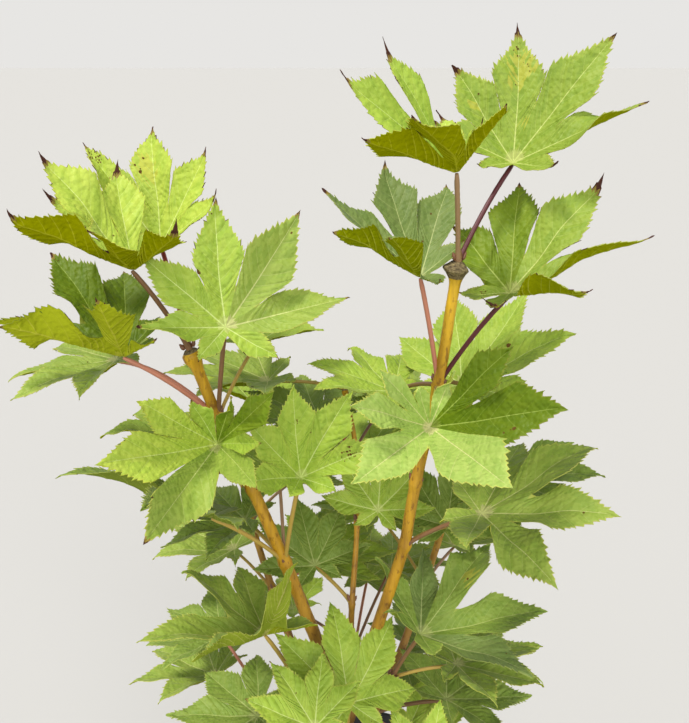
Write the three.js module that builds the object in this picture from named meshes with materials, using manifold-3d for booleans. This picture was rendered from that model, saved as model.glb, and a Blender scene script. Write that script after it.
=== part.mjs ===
// A young Siebold's maple in a black nursery pot, in millimetres, +Z up.
// The origin is the middle of the pot's flat underside. +X is to the right and +Y away from
// someone who looks at the plant's front. Bearings are in degrees from +X towards +Y.

import * as THREE from 'three';
import { mergeVertices } from 'three/addons/utils/BufferGeometryUtils.js';
import Module from 'manifold-3d';

const wasm = await Module();
wasm.setup();

// Clear space between two pieces that touch on the real plant
const gap = 0.3;

// Nursery pot and the soil in it
const potHeight = 165;
const potRimRadius = 82.5;
const potFootRadius = 67;
const potWall = 2.4;
const potFloor = 3;
const footRounding = 3;
const rimBandHeight = 16;
const rimBandStep = 1.8;
const roundSegments = 36;
const drainSlots = 6;
const drainWidth = 15;
const drainHeight = 9;
const soilLevel = 150;

// Trunk, from its flat cut on the soil to its fork
const forkHeight = 250;
const trunkLean = 4;
const trunkRadius = 4.6;
const trunkTopRadius = 4;
const flareRadius = 4;
const flareHeight = 9;

// Boughs, side shoots and leaf stalks
const limbSides = 6;
const ringSpacing = 10;
const stalkSides = 3;
const stalkRings = 4;
const stalkRadius = 1.15;
const stalkArch = 0.1;

// Leaf blade, as shares of its span, which is the length of its middle lobe
const bladeThickness = 1;
const sinusReach = 0.27;
const shoulderReach = 0.62;
const shoulderAngle = 17.5;
const baseReach = 0.07;

// A leaf's lobes, as an angle from the middle line and a length
const oddLobes = [[-130, 0.42], [-84, 0.86], [-42, 0.98], [0, 1], [42, 0.98], [84, 0.86], [130, 0.42]];
const evenLobes = [
  [-156, 0.42], [-124, 0.8], [-84, 0.95], [-40, 1], [40, 1], [84, 0.95], [124, 0.8], [156, 0.42],
];

// A leaf that the growing rule adds stays this far from limbs and from other masses
const ownSpace = 8;
const stalkFeelers = [0.4, 0.6, 0.8];
const ribFeelers = [0.25, 0.5, 0.75, 1];
const lowestLeaf = soilLevel + 30;
const crownHalfWidth = 110;
const crownReach = 130;
const tries = 60;

// Boughs, each from the trunk to the place where its mass of leaves begins
const boughs = [
  {
    name: 'bough_left', footRadius: 3, tipRadius: 2.6,
    line: [[-1.6, 0, 246], [-9.7, 0, 282.7], [-24.2, 0, 331.2]],
  },
  {
    name: 'bough_right', footRadius: 2.8, tipRadius: 2.4,
    line: [[1.8, 0, 246], [10.1, 0, 282.7], [24.3, 0, 339.4]],
  },
  {
    name: 'bough_back', footRadius: 1.8, tipRadius: 1.3,
    line: [[1, 2, 238], [2, 12, 262], [3.3, 16, 297]],
  },
  {
    name: 'bough_far_left', footRadius: 2.2, tipRadius: 1.7,
    line: [[-2, 2, 212], [-20, 22, 252], [-34, 36, 288]],
  },
  {
    name: 'bough_far_right', footRadius: 2.2, tipRadius: 1.7,
    line: [[3, 2, 218], [24, 22, 256], [38, 38, 290]],
  },
];

// Masses of leaves. Each has one stem, with a node at each point of its line. Its first leaves
// are the ones that show from the front, placed by their stalk's reach from their node, and
// the rest are grown at a node on a bearing.
const masses = [
  {
    name: 'crown_left', seed: 11, footRadius: 2.5, tipRadius: 2,
    line: [[-24.2, 0, 331.2], [-36, 0, 366], [-47.2, 0, 396.2], [-55.6, 0, 423.5]],
    leaves: [
      { node: 3, reach: [-12, 20, 33], heading: 88, dip: -36, roll: 6, cup: 35, span: 43, skew: 0.12 },
      {
        node: 3, reach: [-15, -8, 32], heading: 218, dip: -22, roll: 11, cup: 27, span: 44,
        skew: -0.08, rises: [5, 10, 0, -20, -5, 12, 30],
      },
      {
        node: 2, reach: [-31, -5, 27], heading: 188, dip: -8, roll: 0, cup: 33, span: 50,
        rises: [0, -5, 0, -22, -10, 10, 0],
      },
      { node: 2, reach: [6, -6, 38], heading: 112, dip: -66, roll: 2, cup: 6, span: 44, skew: -0.2 },
      {
        node: 2, reach: [4, -26, 3], heading: 283, dip: 61, roll: -3, cup: 48, span: 49,
        skew: -0.07, rises: [-8, 3, -1, 0, 19, 24, 2, -12], lobes: evenLobes,
      },
      { node: 2, reach: [-40, 14, 18], heading: 185, dip: 12, roll: 0, cup: 4, span: 42 },
      {
        node: 0, reach: [8, -11, 46], heading: 117, dip: -52, roll: 9, cup: 36, span: 39,
        rises: [0, 3, -5, 5, 10, 10, 15],
      },
      { node: 0, reach: [-25, -14, 31], heading: 165, dip: -10, roll: -32, cup: 4, span: 50, skew: 0.3 },
      { node: 0, reach: [-19, 24, 4], heading: 165, dip: 10, roll: 0, cup: 4, span: 38 },
    ],
    grown: [[2, 75], [0, 100]],
  },
  {
    name: 'crown_right', seed: 23, footRadius: 2.3, tipRadius: 1.9,
    line: [[24.3, 0, 339.4], [27.5, 0, 368], [34.3, 0, 409.7], [39, 0, 455.8]],
    leaves: [
      {
        node: 3, reach: [-4, -12, 32], heading: 222, dip: 20, roll: 4, cup: 46, span: 44,
        skew: -0.1, rises: [-10, 15, 5, -10, 0, 0, 10],
      },
      { node: 3, reach: [20, 18, 31], heading: 75, dip: -40, roll: 2, cup: 29, span: 46, skew: -0.2 },
      {
        node: 2, reach: [22, -6, 37], heading: 19, dip: -27, roll: 0, cup: 24, span: 48,
        skew: -0.07, rises: [-5, -10, -15, -5, 5, 0, -20],
      },
      {
        node: 2, reach: [-8, 0, 41], heading: 157, dip: -6, roll: 8, cup: 32, span: 45,
        skew: -0.06, rises: [0, 0, 5, 0, 0, 10, -15],
      },
      {
        node: 2, reach: [-5, -22, -6], heading: 264, dip: 46, roll: -3, cup: 40, span: 48,
        skew: 0.18, rises: [15, 15, 10, -5, 5, 0, 5, -10], lobes: evenLobes,
      },
      { node: 2, reach: [13, 25, -11], heading: 36, dip: -34, roll: 0, cup: 8, span: 50 },
      { node: 2, reach: [-14, 30, -16], heading: 165, dip: -10, roll: 0, cup: 6, span: 38 },
      {
        node: 0, reach: [27, -12, 23], heading: 336, dip: -5, roll: 0, cup: 9, span: 50,
        skew: 0.14, rises: [0, 5, -15, 0, 10, 0, 0],
      },
      { node: 0, reach: [20, 22, -6], heading: 75, dip: -35, roll: 0, cup: 5, span: 36 },
    ],
    grown: [[1, 80], [0, 100]],
  },
  {
    name: 'crown_back', seed: 35, footRadius: 1.3, tipRadius: 1,
    line: [[3.3, 16, 297], [5.6, 30, 330], [5, 42, 360], [0, 50, 386]],
    leaves: [
      { node: 2, reach: [-15, -7, 17], heading: 150, dip: 0, roll: 0, cup: 10, span: 40 },
      { node: 1, reach: [9, -3, 8], heading: 80, dip: -50, roll: 0, cup: 12, span: 30 },
      { node: 0, reach: [-17, 16, 8], heading: 110, dip: -30, roll: 0, cup: 8, span: 34 },
    ],
    grown: [[1, 70], [2, 340], [2, 60], [3, 70], [3, 210], [3, 0]],
  },
  {
    name: 'far_left', seed: 47, footRadius: 1.7, tipRadius: 1.2,
    line: [[-34, 36, 288], [-44, 48, 318], [-50, 56, 346]],
    leaves: [],
    grown: [[0, 140], [0, 40], [1, 80], [1, 150], [2, 210], [2, 140], [2, 90]],
  },
  {
    name: 'far_right', seed: 59, footRadius: 1.7, tipRadius: 1.2,
    line: [[38, 38, 290], [48, 50, 320], [53, 58, 350]],
    leaves: [],
    grown: [[0, 40], [0, 130], [1, 80], [1, 50], [2, 320], [2, 20], [2, 150]],
  },
  {
    name: 'low_left', seed: 61, footRadius: 1.7, tipRadius: 1.3,
    line: [[-3, -1.5, 226], [-13, -7, 250], [-19, -10, 275]],
    leaves: [
      {
        node: 2, reach: [-13, -2, 30], heading: 205, dip: -11, roll: -10, cup: 26, span: 52,
        skew: 0.2, rises: [15, 0, 0, -20, -10, 30, 0],
      },
      { node: 1, reach: [-24, -6, 12], heading: 178, dip: 8, roll: 0, cup: 4, span: 40 },
    ],
    grown: [[1, 235], [1, 270]],
  },
  {
    name: 'low_front', seed: 73, footRadius: 1.7, tipRadius: 1.3,
    line: [[0.3, -2.5, 220], [1, -12, 240], [1, -18, 254]],
    leaves: [
      {
        node: 2, reach: [1, -9, 30], heading: 103, dip: -36, roll: -8, cup: -2, span: 41,
        rises: [0, -15, 5, 0, 0, 0, 0],
      },
      { node: 2, reach: [-12, -27, 37], heading: 132, dip: -15, roll: 0, cup: 14, span: 29 },
      { node: 1, reach: [31, -32, 21], heading: 75, dip: -20, roll: 0, cup: 15, span: 31 },
    ],
    grown: [[1, 265], [1, 300]],
  },
  {
    name: 'low_right', seed: 85, footRadius: 1.7, tipRadius: 1.3,
    line: [[3, -1, 232], [13, -5, 255], [20, -8, 278]],
    leaves: [
      {
        node: 2, reach: [11, -2, 25], heading: 45, dip: 10, roll: -3, cup: 23, span: 50,
        skew: -0.14, rises: [-5, -10, -5, 15, 0, 5, 5],
      },
      { node: 1, reach: [31, -1, 9], heading: 40, dip: 5, roll: 0, cup: 6, span: 38 },
    ],
    grown: [[1, 315], [2, 340]],
  },
  {
    name: 'low_back', seed: 98, footRadius: 1.9, tipRadius: 1.3,
    line: [[0, 2.5, 200], [3, 22, 226], [5, 36, 252]],
    leaves: [],
    grown: [[1, 330], [1, 190], [2, 80], [2, 70], [2, 120]],
  },
  {
    name: 'low_far_left', seed: 110, footRadius: 1.9, tipRadius: 1.3,
    line: [[-3, 1, 190], [-22, 10, 212], [-36, 16, 234]],
    leaves: [],
    grown: [[1, 220], [1, 80], [2, 140], [2, 210], [2, 130]],
  },
  {
    name: 'low_far_right', seed: 127, footRadius: 1.9, tipRadius: 1.3,
    line: [[3, 1, 184], [22, 8, 206], [37, 12, 228]],
    leaves: [],
    grown: [[1, 320], [1, 70], [2, 20], [2, 310], [2, 90]],
  },
];

const colours = {
  pot: { color: 0x1b1c1e, roughness: 0.5, metalness: 0 },
  soil: { color: 0x3a2a1e, roughness: 0.95, metalness: 0 },
  bark: { color: 0xa9813f, roughness: 0.65, metalness: 0 },
  leaf: { color: 0x8fb146, roughness: 0.55, metalness: 0 },
};

const radians = THREE.MathUtils.degToRad;
const vector = (point) => new THREE.Vector3(...point);

// The same random numbers from the same seed, each from 0 to 1
function randomFrom(seed) {
  let state = seed;
  return () => {
    state = (Math.imul(state, 1664525) + 1013904223) >>> 0;
    return state / 2 ** 32;
  };
}

const between = (random, low, high) => low + (high - low) * random();

function closedGeometry(points, triangles) {
  const geometry = new THREE.BufferGeometry();
  const coordinates = points.flatMap((point) => point.toArray());
  geometry.setAttribute('position', new THREE.Float32BufferAttribute(coordinates, 3));
  geometry.setIndex(triangles.flat());
  return geometry;
}

// A three.js geometry as a solid that can be joined and cut
function solid(geometry) {
  const bare = geometry.clone();
  bare.deleteAttribute('normal');
  bare.deleteAttribute('uv');
  const merged = mergeVertices(bare, 1e-4);
  const mesh = new wasm.Mesh({
    numProp: 3,
    vertProperties: new Float32Array(merged.attributes.position.array),
    triVerts: new Uint32Array(merged.index.array),
  });
  return new wasm.Manifold(mesh);
}

function geometryOf(body) {
  const mesh = body.getMesh();
  const geometry = new THREE.BufferGeometry();
  geometry.setAttribute('position', new THREE.Float32BufferAttribute(mesh.vertProperties, 3));
  geometry.setIndex(Array.from(mesh.triVerts));
  geometry.computeVertexNormals();
  return geometry;
}

// A tapering tube with flat ends along a curve
function tube(curve, rings, sides, radiusAt) {
  const frames = curve.computeFrenetFrames(rings, false);
  const points = [];
  const triangles = [];
  for (let ring = 0; ring <= rings; ring += 1) {
    const along = ring / rings;
    const centre = curve.getPointAt(along);
    for (let side = 0; side < sides; side += 1) {
      const turn = (2 * Math.PI * side) / sides;
      points.push(centre.clone()
        .addScaledVector(frames.normals[ring], radiusAt(along) * Math.cos(turn))
        .addScaledVector(frames.binormals[ring], radiusAt(along) * Math.sin(turn)));
    }
  }
  const corner = (ring, side) => ring * sides + (side % sides);
  for (let side = 0; side < sides; side += 1) {
    for (let ring = 0; ring < rings; ring += 1) {
      triangles.push([corner(ring, side), corner(ring, side + 1), corner(ring + 1, side + 1)]);
      triangles.push([corner(ring, side), corner(ring + 1, side + 1), corner(ring + 1, side)]);
    }
  }
  for (let side = 1; side < sides - 1; side += 1) {
    triangles.push([corner(0, 0), corner(0, side + 1), corner(0, side)]);
    triangles.push([corner(rings, 0), corner(rings, side), corner(rings, side + 1)]);
  }
  return closedGeometry(points, triangles);
}

const smoothLine = (line) => new THREE.CatmullRomCurve3(line.map(vector), false, 'catmullrom', 0.5);

// A bough or a mass's stem. A wider copy of it, a little longer at its tip, is its socket.
function limb({ line, footRadius, tipRadius }, clearance = 0) {
  const points = line.map(vector);
  const tip = points.at(-1);
  const lastStretch = tip.clone().sub(points.at(-2)).normalize();
  tip.addScaledVector(lastStretch, clearance);
  const curve = new THREE.CatmullRomCurve3(points, false, 'catmullrom', 0.5);
  const rings = Math.ceil(curve.getLength() / ringSpacing);
  const radiusAt = (along) => THREE.MathUtils.lerp(footRadius, tipRadius, along) + clearance;
  return solid(tube(curve, rings, limbSides, radiusAt));
}

function trunk(clearance = 0) {
  const foot = soilLevel + gap;
  const height = forkHeight - foot;
  const curve = smoothLine([
    [trunkLean, 0, foot],
    [trunkLean, 0, foot + height / 5],
    [trunkLean / 3, 0, foot + (3 * height) / 5],
    [0, 0, forkHeight + clearance],
  ]);
  const rings = Math.ceil((2 * curve.getLength()) / ringSpacing);
  const radiusAt = (along) => THREE.MathUtils.lerp(trunkRadius, trunkTopRadius, along)
    + flareRadius * Math.exp((-along * height) / flareHeight) + clearance;
  return solid(tube(curve, rings, limbSides + 2, radiusAt));
}

// The blade's own directions: along its middle lobe, to its left, and out of its upper face
function bladeFrame({ heading, dip, roll }) {
  const [bearing, slope] = [radians(heading), radians(dip)];
  const middle = vector([Math.cos(bearing), Math.sin(bearing), 0]).multiplyScalar(Math.cos(slope));
  middle.z = -Math.sin(slope);
  const up = vector([Math.cos(bearing), Math.sin(bearing), 0]).multiplyScalar(Math.sin(slope));
  up.z = Math.cos(slope);
  up.applyAxisAngle(middle, -radians(roll));
  return { middle, up, side: up.clone().cross(middle) };
}

// The point of a blade at an angle from its middle line, at a share of its span from the stalk.
// It lies above the blade's own plane by its cup and its lobe's rise, both in degrees.
function bladePoint(leaf, frame, [angle, reach, rise]) {
  const [turn, lift] = [radians(angle), radians(leaf.cup + rise)];
  const outward = frame.middle.clone().multiplyScalar(Math.cos(turn))
    .addScaledVector(frame.side, Math.sin(turn));
  return leaf.centre.clone()
    .addScaledVector(outward, Math.cos(lift) * reach * leaf.span)
    .addScaledVector(frame.up, Math.sin(lift) * reach * leaf.span);
}

// A leaf may be larger on one side, on the left where its skew is positive, and some of its
// lobes may rise or sink more than the rest
const lobesOf = ({ lobes = oddLobes, skew = 0, rises = [] }) => lobes.map(
  ([angle, length], index) => [
    angle, length * (1 + skew * Math.sin(radians(angle))), rises[index] ?? 0,
  ],
);

function bladeOutline(leaf) {
  const lobes = lobesOf(leaf);
  const outline = [];
  lobes.forEach(([angle, length, rise], index) => {
    if (index > 0) {
      const [lastAngle, lastLength, lastRise] = lobes[index - 1];
      const notch = sinusReach * (length + lastLength) / 2;
      outline.push([(angle + lastAngle) / 2, notch, (rise + lastRise) / 2]);
    }
    outline.push([angle - shoulderAngle, length * shoulderReach, rise]);
    outline.push([angle, length, rise]);
    outline.push([angle + shoulderAngle, length * shoulderReach, rise]);
  });
  outline.push([180, baseReach, 0]);
  return outline;
}

// A blade is a thin plate. Its lobes stand on a middle piece that runs from notch to notch.
function blade(leaf) {
  const frame = bladeFrame(leaf);
  const outline = bladeOutline(leaf).map((place) => bladePoint(leaf, frame, place));
  const count = outline.length;
  const face = (height) => [...outline, leaf.centre].map(
    (point) => point.clone().addScaledVector(frame.up, height),
  );
  const upper = [];
  for (let first = 0; first < count; first += 4) {
    const [right, tip, left, after] = [first, first + 1, first + 2, first + 3];
    const before = (first + count - 1) % count;
    upper.push([count, before, after], [before, right, left], [before, left, after], [right, tip, left]);
  }
  const lower = upper.map((corners) => corners.map((corner) => corner + count + 1).reverse());
  const rim = outline.flatMap((_, index) => {
    const next = (index + 1) % count;
    return [
      [index, index + count + 1, next + count + 1],
      [index, next + count + 1, next],
    ];
  });
  const points = [...face(bladeThickness / 2), ...face(-bladeThickness / 2)];
  return solid(closedGeometry(points, [...upper, ...lower, ...rim]));
}

// A stalk arches a little on its way from its node to its blade
function stalk(leaf) {
  const middle = leaf.node.clone().lerp(leaf.centre, 0.5);
  middle.z += stalkArch * leaf.node.distanceTo(leaf.centre);
  const curve = new THREE.QuadraticBezierCurve3(leaf.node, middle, leaf.centre);
  return solid(tube(curve, stalkRings, stalkSides, () => stalkRadius));
}

// A leaf that the rule grows on a bearing, always from the same count of random numbers
function grownLeaf([node, bearing], random) {
  const heading = bearing + between(random, -25, 25);
  const rise = radians(between(random, 0, 60));
  const stalkLength = between(random, 28, 44);
  const flat = stalkLength * Math.cos(rise);
  return {
    node,
    reach: [
      flat * Math.cos(radians(heading)),
      flat * Math.sin(radians(heading)),
      stalkLength * Math.sin(rise),
    ],
    heading: heading + between(random, -20, 20),
    dip: between(random, -10, 20),
    roll: between(random, -12, 12),
    cup: between(random, 3, 15),
    span: between(random, 36, 46),
  };
}

const onStem = (line, leaf) => {
  const node = vector(line[leaf.node]);
  return { ...leaf, node, centre: node.clone().add(vector(leaf.reach)) };
};

// Points along a leaf's stalk and ribs, which tell how near it comes to something else
function feelers(leaf) {
  const frame = bladeFrame(leaf);
  const points = stalkFeelers.map((share) => leaf.node.clone().lerp(leaf.centre, share));
  for (const [angle, length, rise] of lobesOf(leaf)) {
    for (const share of ribFeelers) {
      points.push(bladePoint(leaf, frame, [angle, share * length, rise]));
    }
  }
  return points;
}

const near = (points, others) => points.some(
  (point) => others.some((other) => point.distanceTo(other) < ownSpace),
);

const inCrown = (point) => (
  point.z > lowestLeaf && Math.hypot(point.x / crownHalfWidth, point.y / crownReach) < 1
);

// Where every leaf of every mass sits. A grown leaf that would come near a limb or another
// leaf, or leave the crown, is tried again a few times and then left out.
function placeLeaves() {
  const stems = [...boughs, ...masses].flatMap(({ line }) => smoothLine(line).getPoints(8));
  const shown = masses.map(({ line, leaves }) => leaves.map((leaf) => onStem(line, leaf)));
  const taken = [...stems, ...shown.flat().flatMap(feelers)];
  return masses.map(({ line, grown, seed }, index) => {
    const random = randomFrom(seed);
    const placed = [...shown[index]];
    for (const place of grown) {
      for (let attempt = 0; attempt < tries; attempt += 1) {
        const leaf = onStem(line, grownLeaf(place, random));
        const points = feelers(leaf);
        if (points.every(inCrown) && !near(points, taken)) {
          placed.push(leaf);
          taken.push(...points);
          break;
        }
      }
    }
    return placed;
  });
}

// The largest body of a cut mass, without loose scraps
function wholeBody(body) {
  return body.decompose().reduce((largest, part) => (part.volume() > largest.volume() ? part : largest));
}

function lathe(profile) {
  const points = profile.map(([radius, height]) => new THREE.Vector2(radius, height));
  return solid(new THREE.LatheGeometry(points, roundSegments).rotateX(Math.PI / 2));
}

// Outer radius of the pot's wall below its rim band
const potRadiusAt = (height) => THREE.MathUtils.lerp(
  potFootRadius, potRimRadius - rimBandStep, height / potHeight,
);

function pot() {
  const bandFoot = potHeight - rimBandHeight;
  let body = lathe([
    [0, 0],
    [potFootRadius - footRounding, 0],
    [potRadiusAt(footRounding), footRounding],
    [potRadiusAt(bandFoot), bandFoot],
    [potRadiusAt(bandFoot) + rimBandStep, bandFoot + rimBandStep],
    [potRimRadius, potHeight],
    [potRadiusAt(potHeight) - potWall, potHeight],
    [potRadiusAt(potFloor) - potWall, potFloor],
    [0, potFloor],
  ]);
  for (let slot = 0; slot < drainSlots; slot += 1) {
    const cutter = new THREE.BoxGeometry(6 * potWall, drainWidth, drainHeight);
    cutter.translate(potRadiusAt(0), 0, potFloor + 1 + drainHeight / 2);
    cutter.rotateZ((2 * Math.PI * (slot + 0.5)) / drainSlots);
    body = body.subtract(solid(cutter));
  }
  return body;
}

function soil() {
  const radiusAt = (height) => potRadiusAt(height) - potWall - gap;
  return lathe([
    [0, potFloor + gap],
    [radiusAt(potFloor + gap) - gap, potFloor + gap],
    [radiusAt(soilLevel), soilLevel],
    [0, soilLevel],
  ]);
}

const group = new THREE.Group();

function addPiece(name, body, finish) {
  const mesh = new THREE.Mesh(geometryOf(body), new THREE.MeshStandardMaterial(finish));
  mesh.name = name;
  group.add(mesh);
}

addPiece('pot', pot(), colours.pot);
addPiece('soil', soil(), colours.soil);
addPiece('trunk', trunk(), colours.bark);

// Each bough is cut clear of the trunk and of the boughs before it, and each mass of them all
let limbSockets = trunk(gap);
for (const bough of boughs) {
  addPiece(bough.name, wholeBody(limb(bough).subtract(limbSockets)), colours.bark);
  limbSockets = limbSockets.add(limb(bough, gap));
}

placeLeaves().forEach((leaves, index) => {
  let body = limb(masses[index]);
  for (const leaf of leaves) {
    body = body.add(stalk(leaf)).add(blade(leaf));
  }
  addPiece(masses[index].name, wholeBody(body.subtract(limbSockets)), colours.leaf);
});

export default group;
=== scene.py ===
import functools
import math

import bmesh
import bpy
import numpy as np
from mathutils import Matrix, Vector


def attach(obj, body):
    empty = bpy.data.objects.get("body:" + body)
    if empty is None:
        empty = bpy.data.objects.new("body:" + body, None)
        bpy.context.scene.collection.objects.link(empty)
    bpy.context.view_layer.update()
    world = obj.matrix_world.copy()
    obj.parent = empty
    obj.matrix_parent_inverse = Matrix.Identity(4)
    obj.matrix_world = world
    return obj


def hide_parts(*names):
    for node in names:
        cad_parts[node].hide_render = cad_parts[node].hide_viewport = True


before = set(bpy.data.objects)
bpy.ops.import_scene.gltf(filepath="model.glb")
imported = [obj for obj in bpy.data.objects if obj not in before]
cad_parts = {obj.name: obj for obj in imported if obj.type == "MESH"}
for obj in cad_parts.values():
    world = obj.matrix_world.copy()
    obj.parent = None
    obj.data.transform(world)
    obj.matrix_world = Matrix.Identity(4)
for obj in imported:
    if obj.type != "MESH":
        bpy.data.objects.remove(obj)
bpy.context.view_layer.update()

# A young Siebold's maple in a black nursery pot. Sizes are in millimetres until a mesh is made,
# and bearings in degrees from +X towards +Y, as in the part's source.
MM = 0.001

# Pot and soil
POT_HEIGHT = 165
POT_RIM_RADIUS = 82.5
POT_FOOT_RADIUS = 67
POT_WALL = 2.4
POT_FLOOR = 3
RIM_BAND_HEIGHT = 16
RIM_BAND_STEP = 1.8
FOOT_ROUNDING = 3
LIP_RADIUS = 1.15
BEAD_RADIUS = 0.55
BEADS_BELOW_BAND = (9, 5.5)
DRAIN_SLOTS = 6
DRAIN_WIDTH = 15
DRAIN_HEIGHT = 9
SOIL_LEVEL = 150
POT_SEGMENTS = 144
POT_CREASE = 35

# Trunk and its flare
GAP = 0.3
FORK_HEIGHT = 250
TRUNK_LEAN = 4
TRUNK_RADIUS = 4.6
TRUNK_TOP_RADIUS = 4
FLARE_RADIUS = 4
FLARE_HEIGHT = 9
BUTTRESS = 0.28
TRUNK_SCARS = (38, 66, 88)

# Leaf blade, as shares of its span, and the room that a grown leaf needs
SINUS_REACH = 0.27
BASE_REACH = 0.07
STALK_ARCH = 0.1
OWN_SPACE = 8
STALK_FEELERS = (0.4, 0.6, 0.8)
RIB_FEELERS = (0.25, 0.5, 0.75, 1)
LOWEST_LEAF = SOIL_LEVEL + 30
CROWN_HALF_WIDTH = 110
CROWN_REACH = 130
TRIES = 60

# A grown leaf's dip, roll, cup and span
GROWN_POSE = ((-10, 20), (-12, 12), (3, 15), (36, 46))

# Each lobe's angle from the middle one, and its length as a share of the blade's span
ODD_LOBES = ((-130, 0.42), (-84, 0.86), (-42, 0.98), (0, 1), (42, 0.98), (84, 0.86), (130, 0.42))
EVEN_LOBES = (
    (-156, 0.42), (-124, 0.8), (-84, 0.95), (-40, 1), (40, 1), (84, 0.95), (124, 0.8), (156, 0.42),
)

# Each bough: its name, foot and tip radius, and line
BOUGHS = (
    ("bough_left", 3, 2.6, ((-1.6, 0, 246), (-9.7, 0, 282.7), (-24.2, 0, 331.2))),
    ("bough_right", 2.8, 2.4, ((1.8, 0, 246), (10.1, 0, 282.7), (24.3, 0, 339.4))),
    ("bough_back", 1.8, 1.3, ((1, 2, 238), (2, 12, 262), (3.3, 16, 297))),
    ("bough_far_left", 2.2, 1.7, ((-2, 2, 212), (-20, 22, 252), (-34, 36, 288))),
    ("bough_far_right", 2.2, 1.7, ((3, 2, 218), (24, 22, 256), (38, 38, 290))),
)


# What a leaf is placed by, in this order
POSE = ("node", "reach", "heading", "dip", "roll", "cup", "span", "kind", "stalk")


def posed(*pose, **more):
    """A leaf, placed by its stalk's reach from its node on the stem, with what sets it apart.

    Its skew makes its left side larger, scorch dries its tips, and arch is how far its stalk rises
    above a straight line, as a share of the stalk's length. Each of its spots has a lobe's number,
    a place along and across it, a radius and a look. By the lobe's number, turns hold a twist in
    degrees, bends a sideways bend, folds how far in degrees it closes along its rib, and tones
    another kind of leaf that lends it its colours, which paint light and shade on that lobe alone:
    darker kinds where it stands in shadow, lighter ones where it is lit.
    """
    return dict(zip(POSE, pose), **more)


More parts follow.
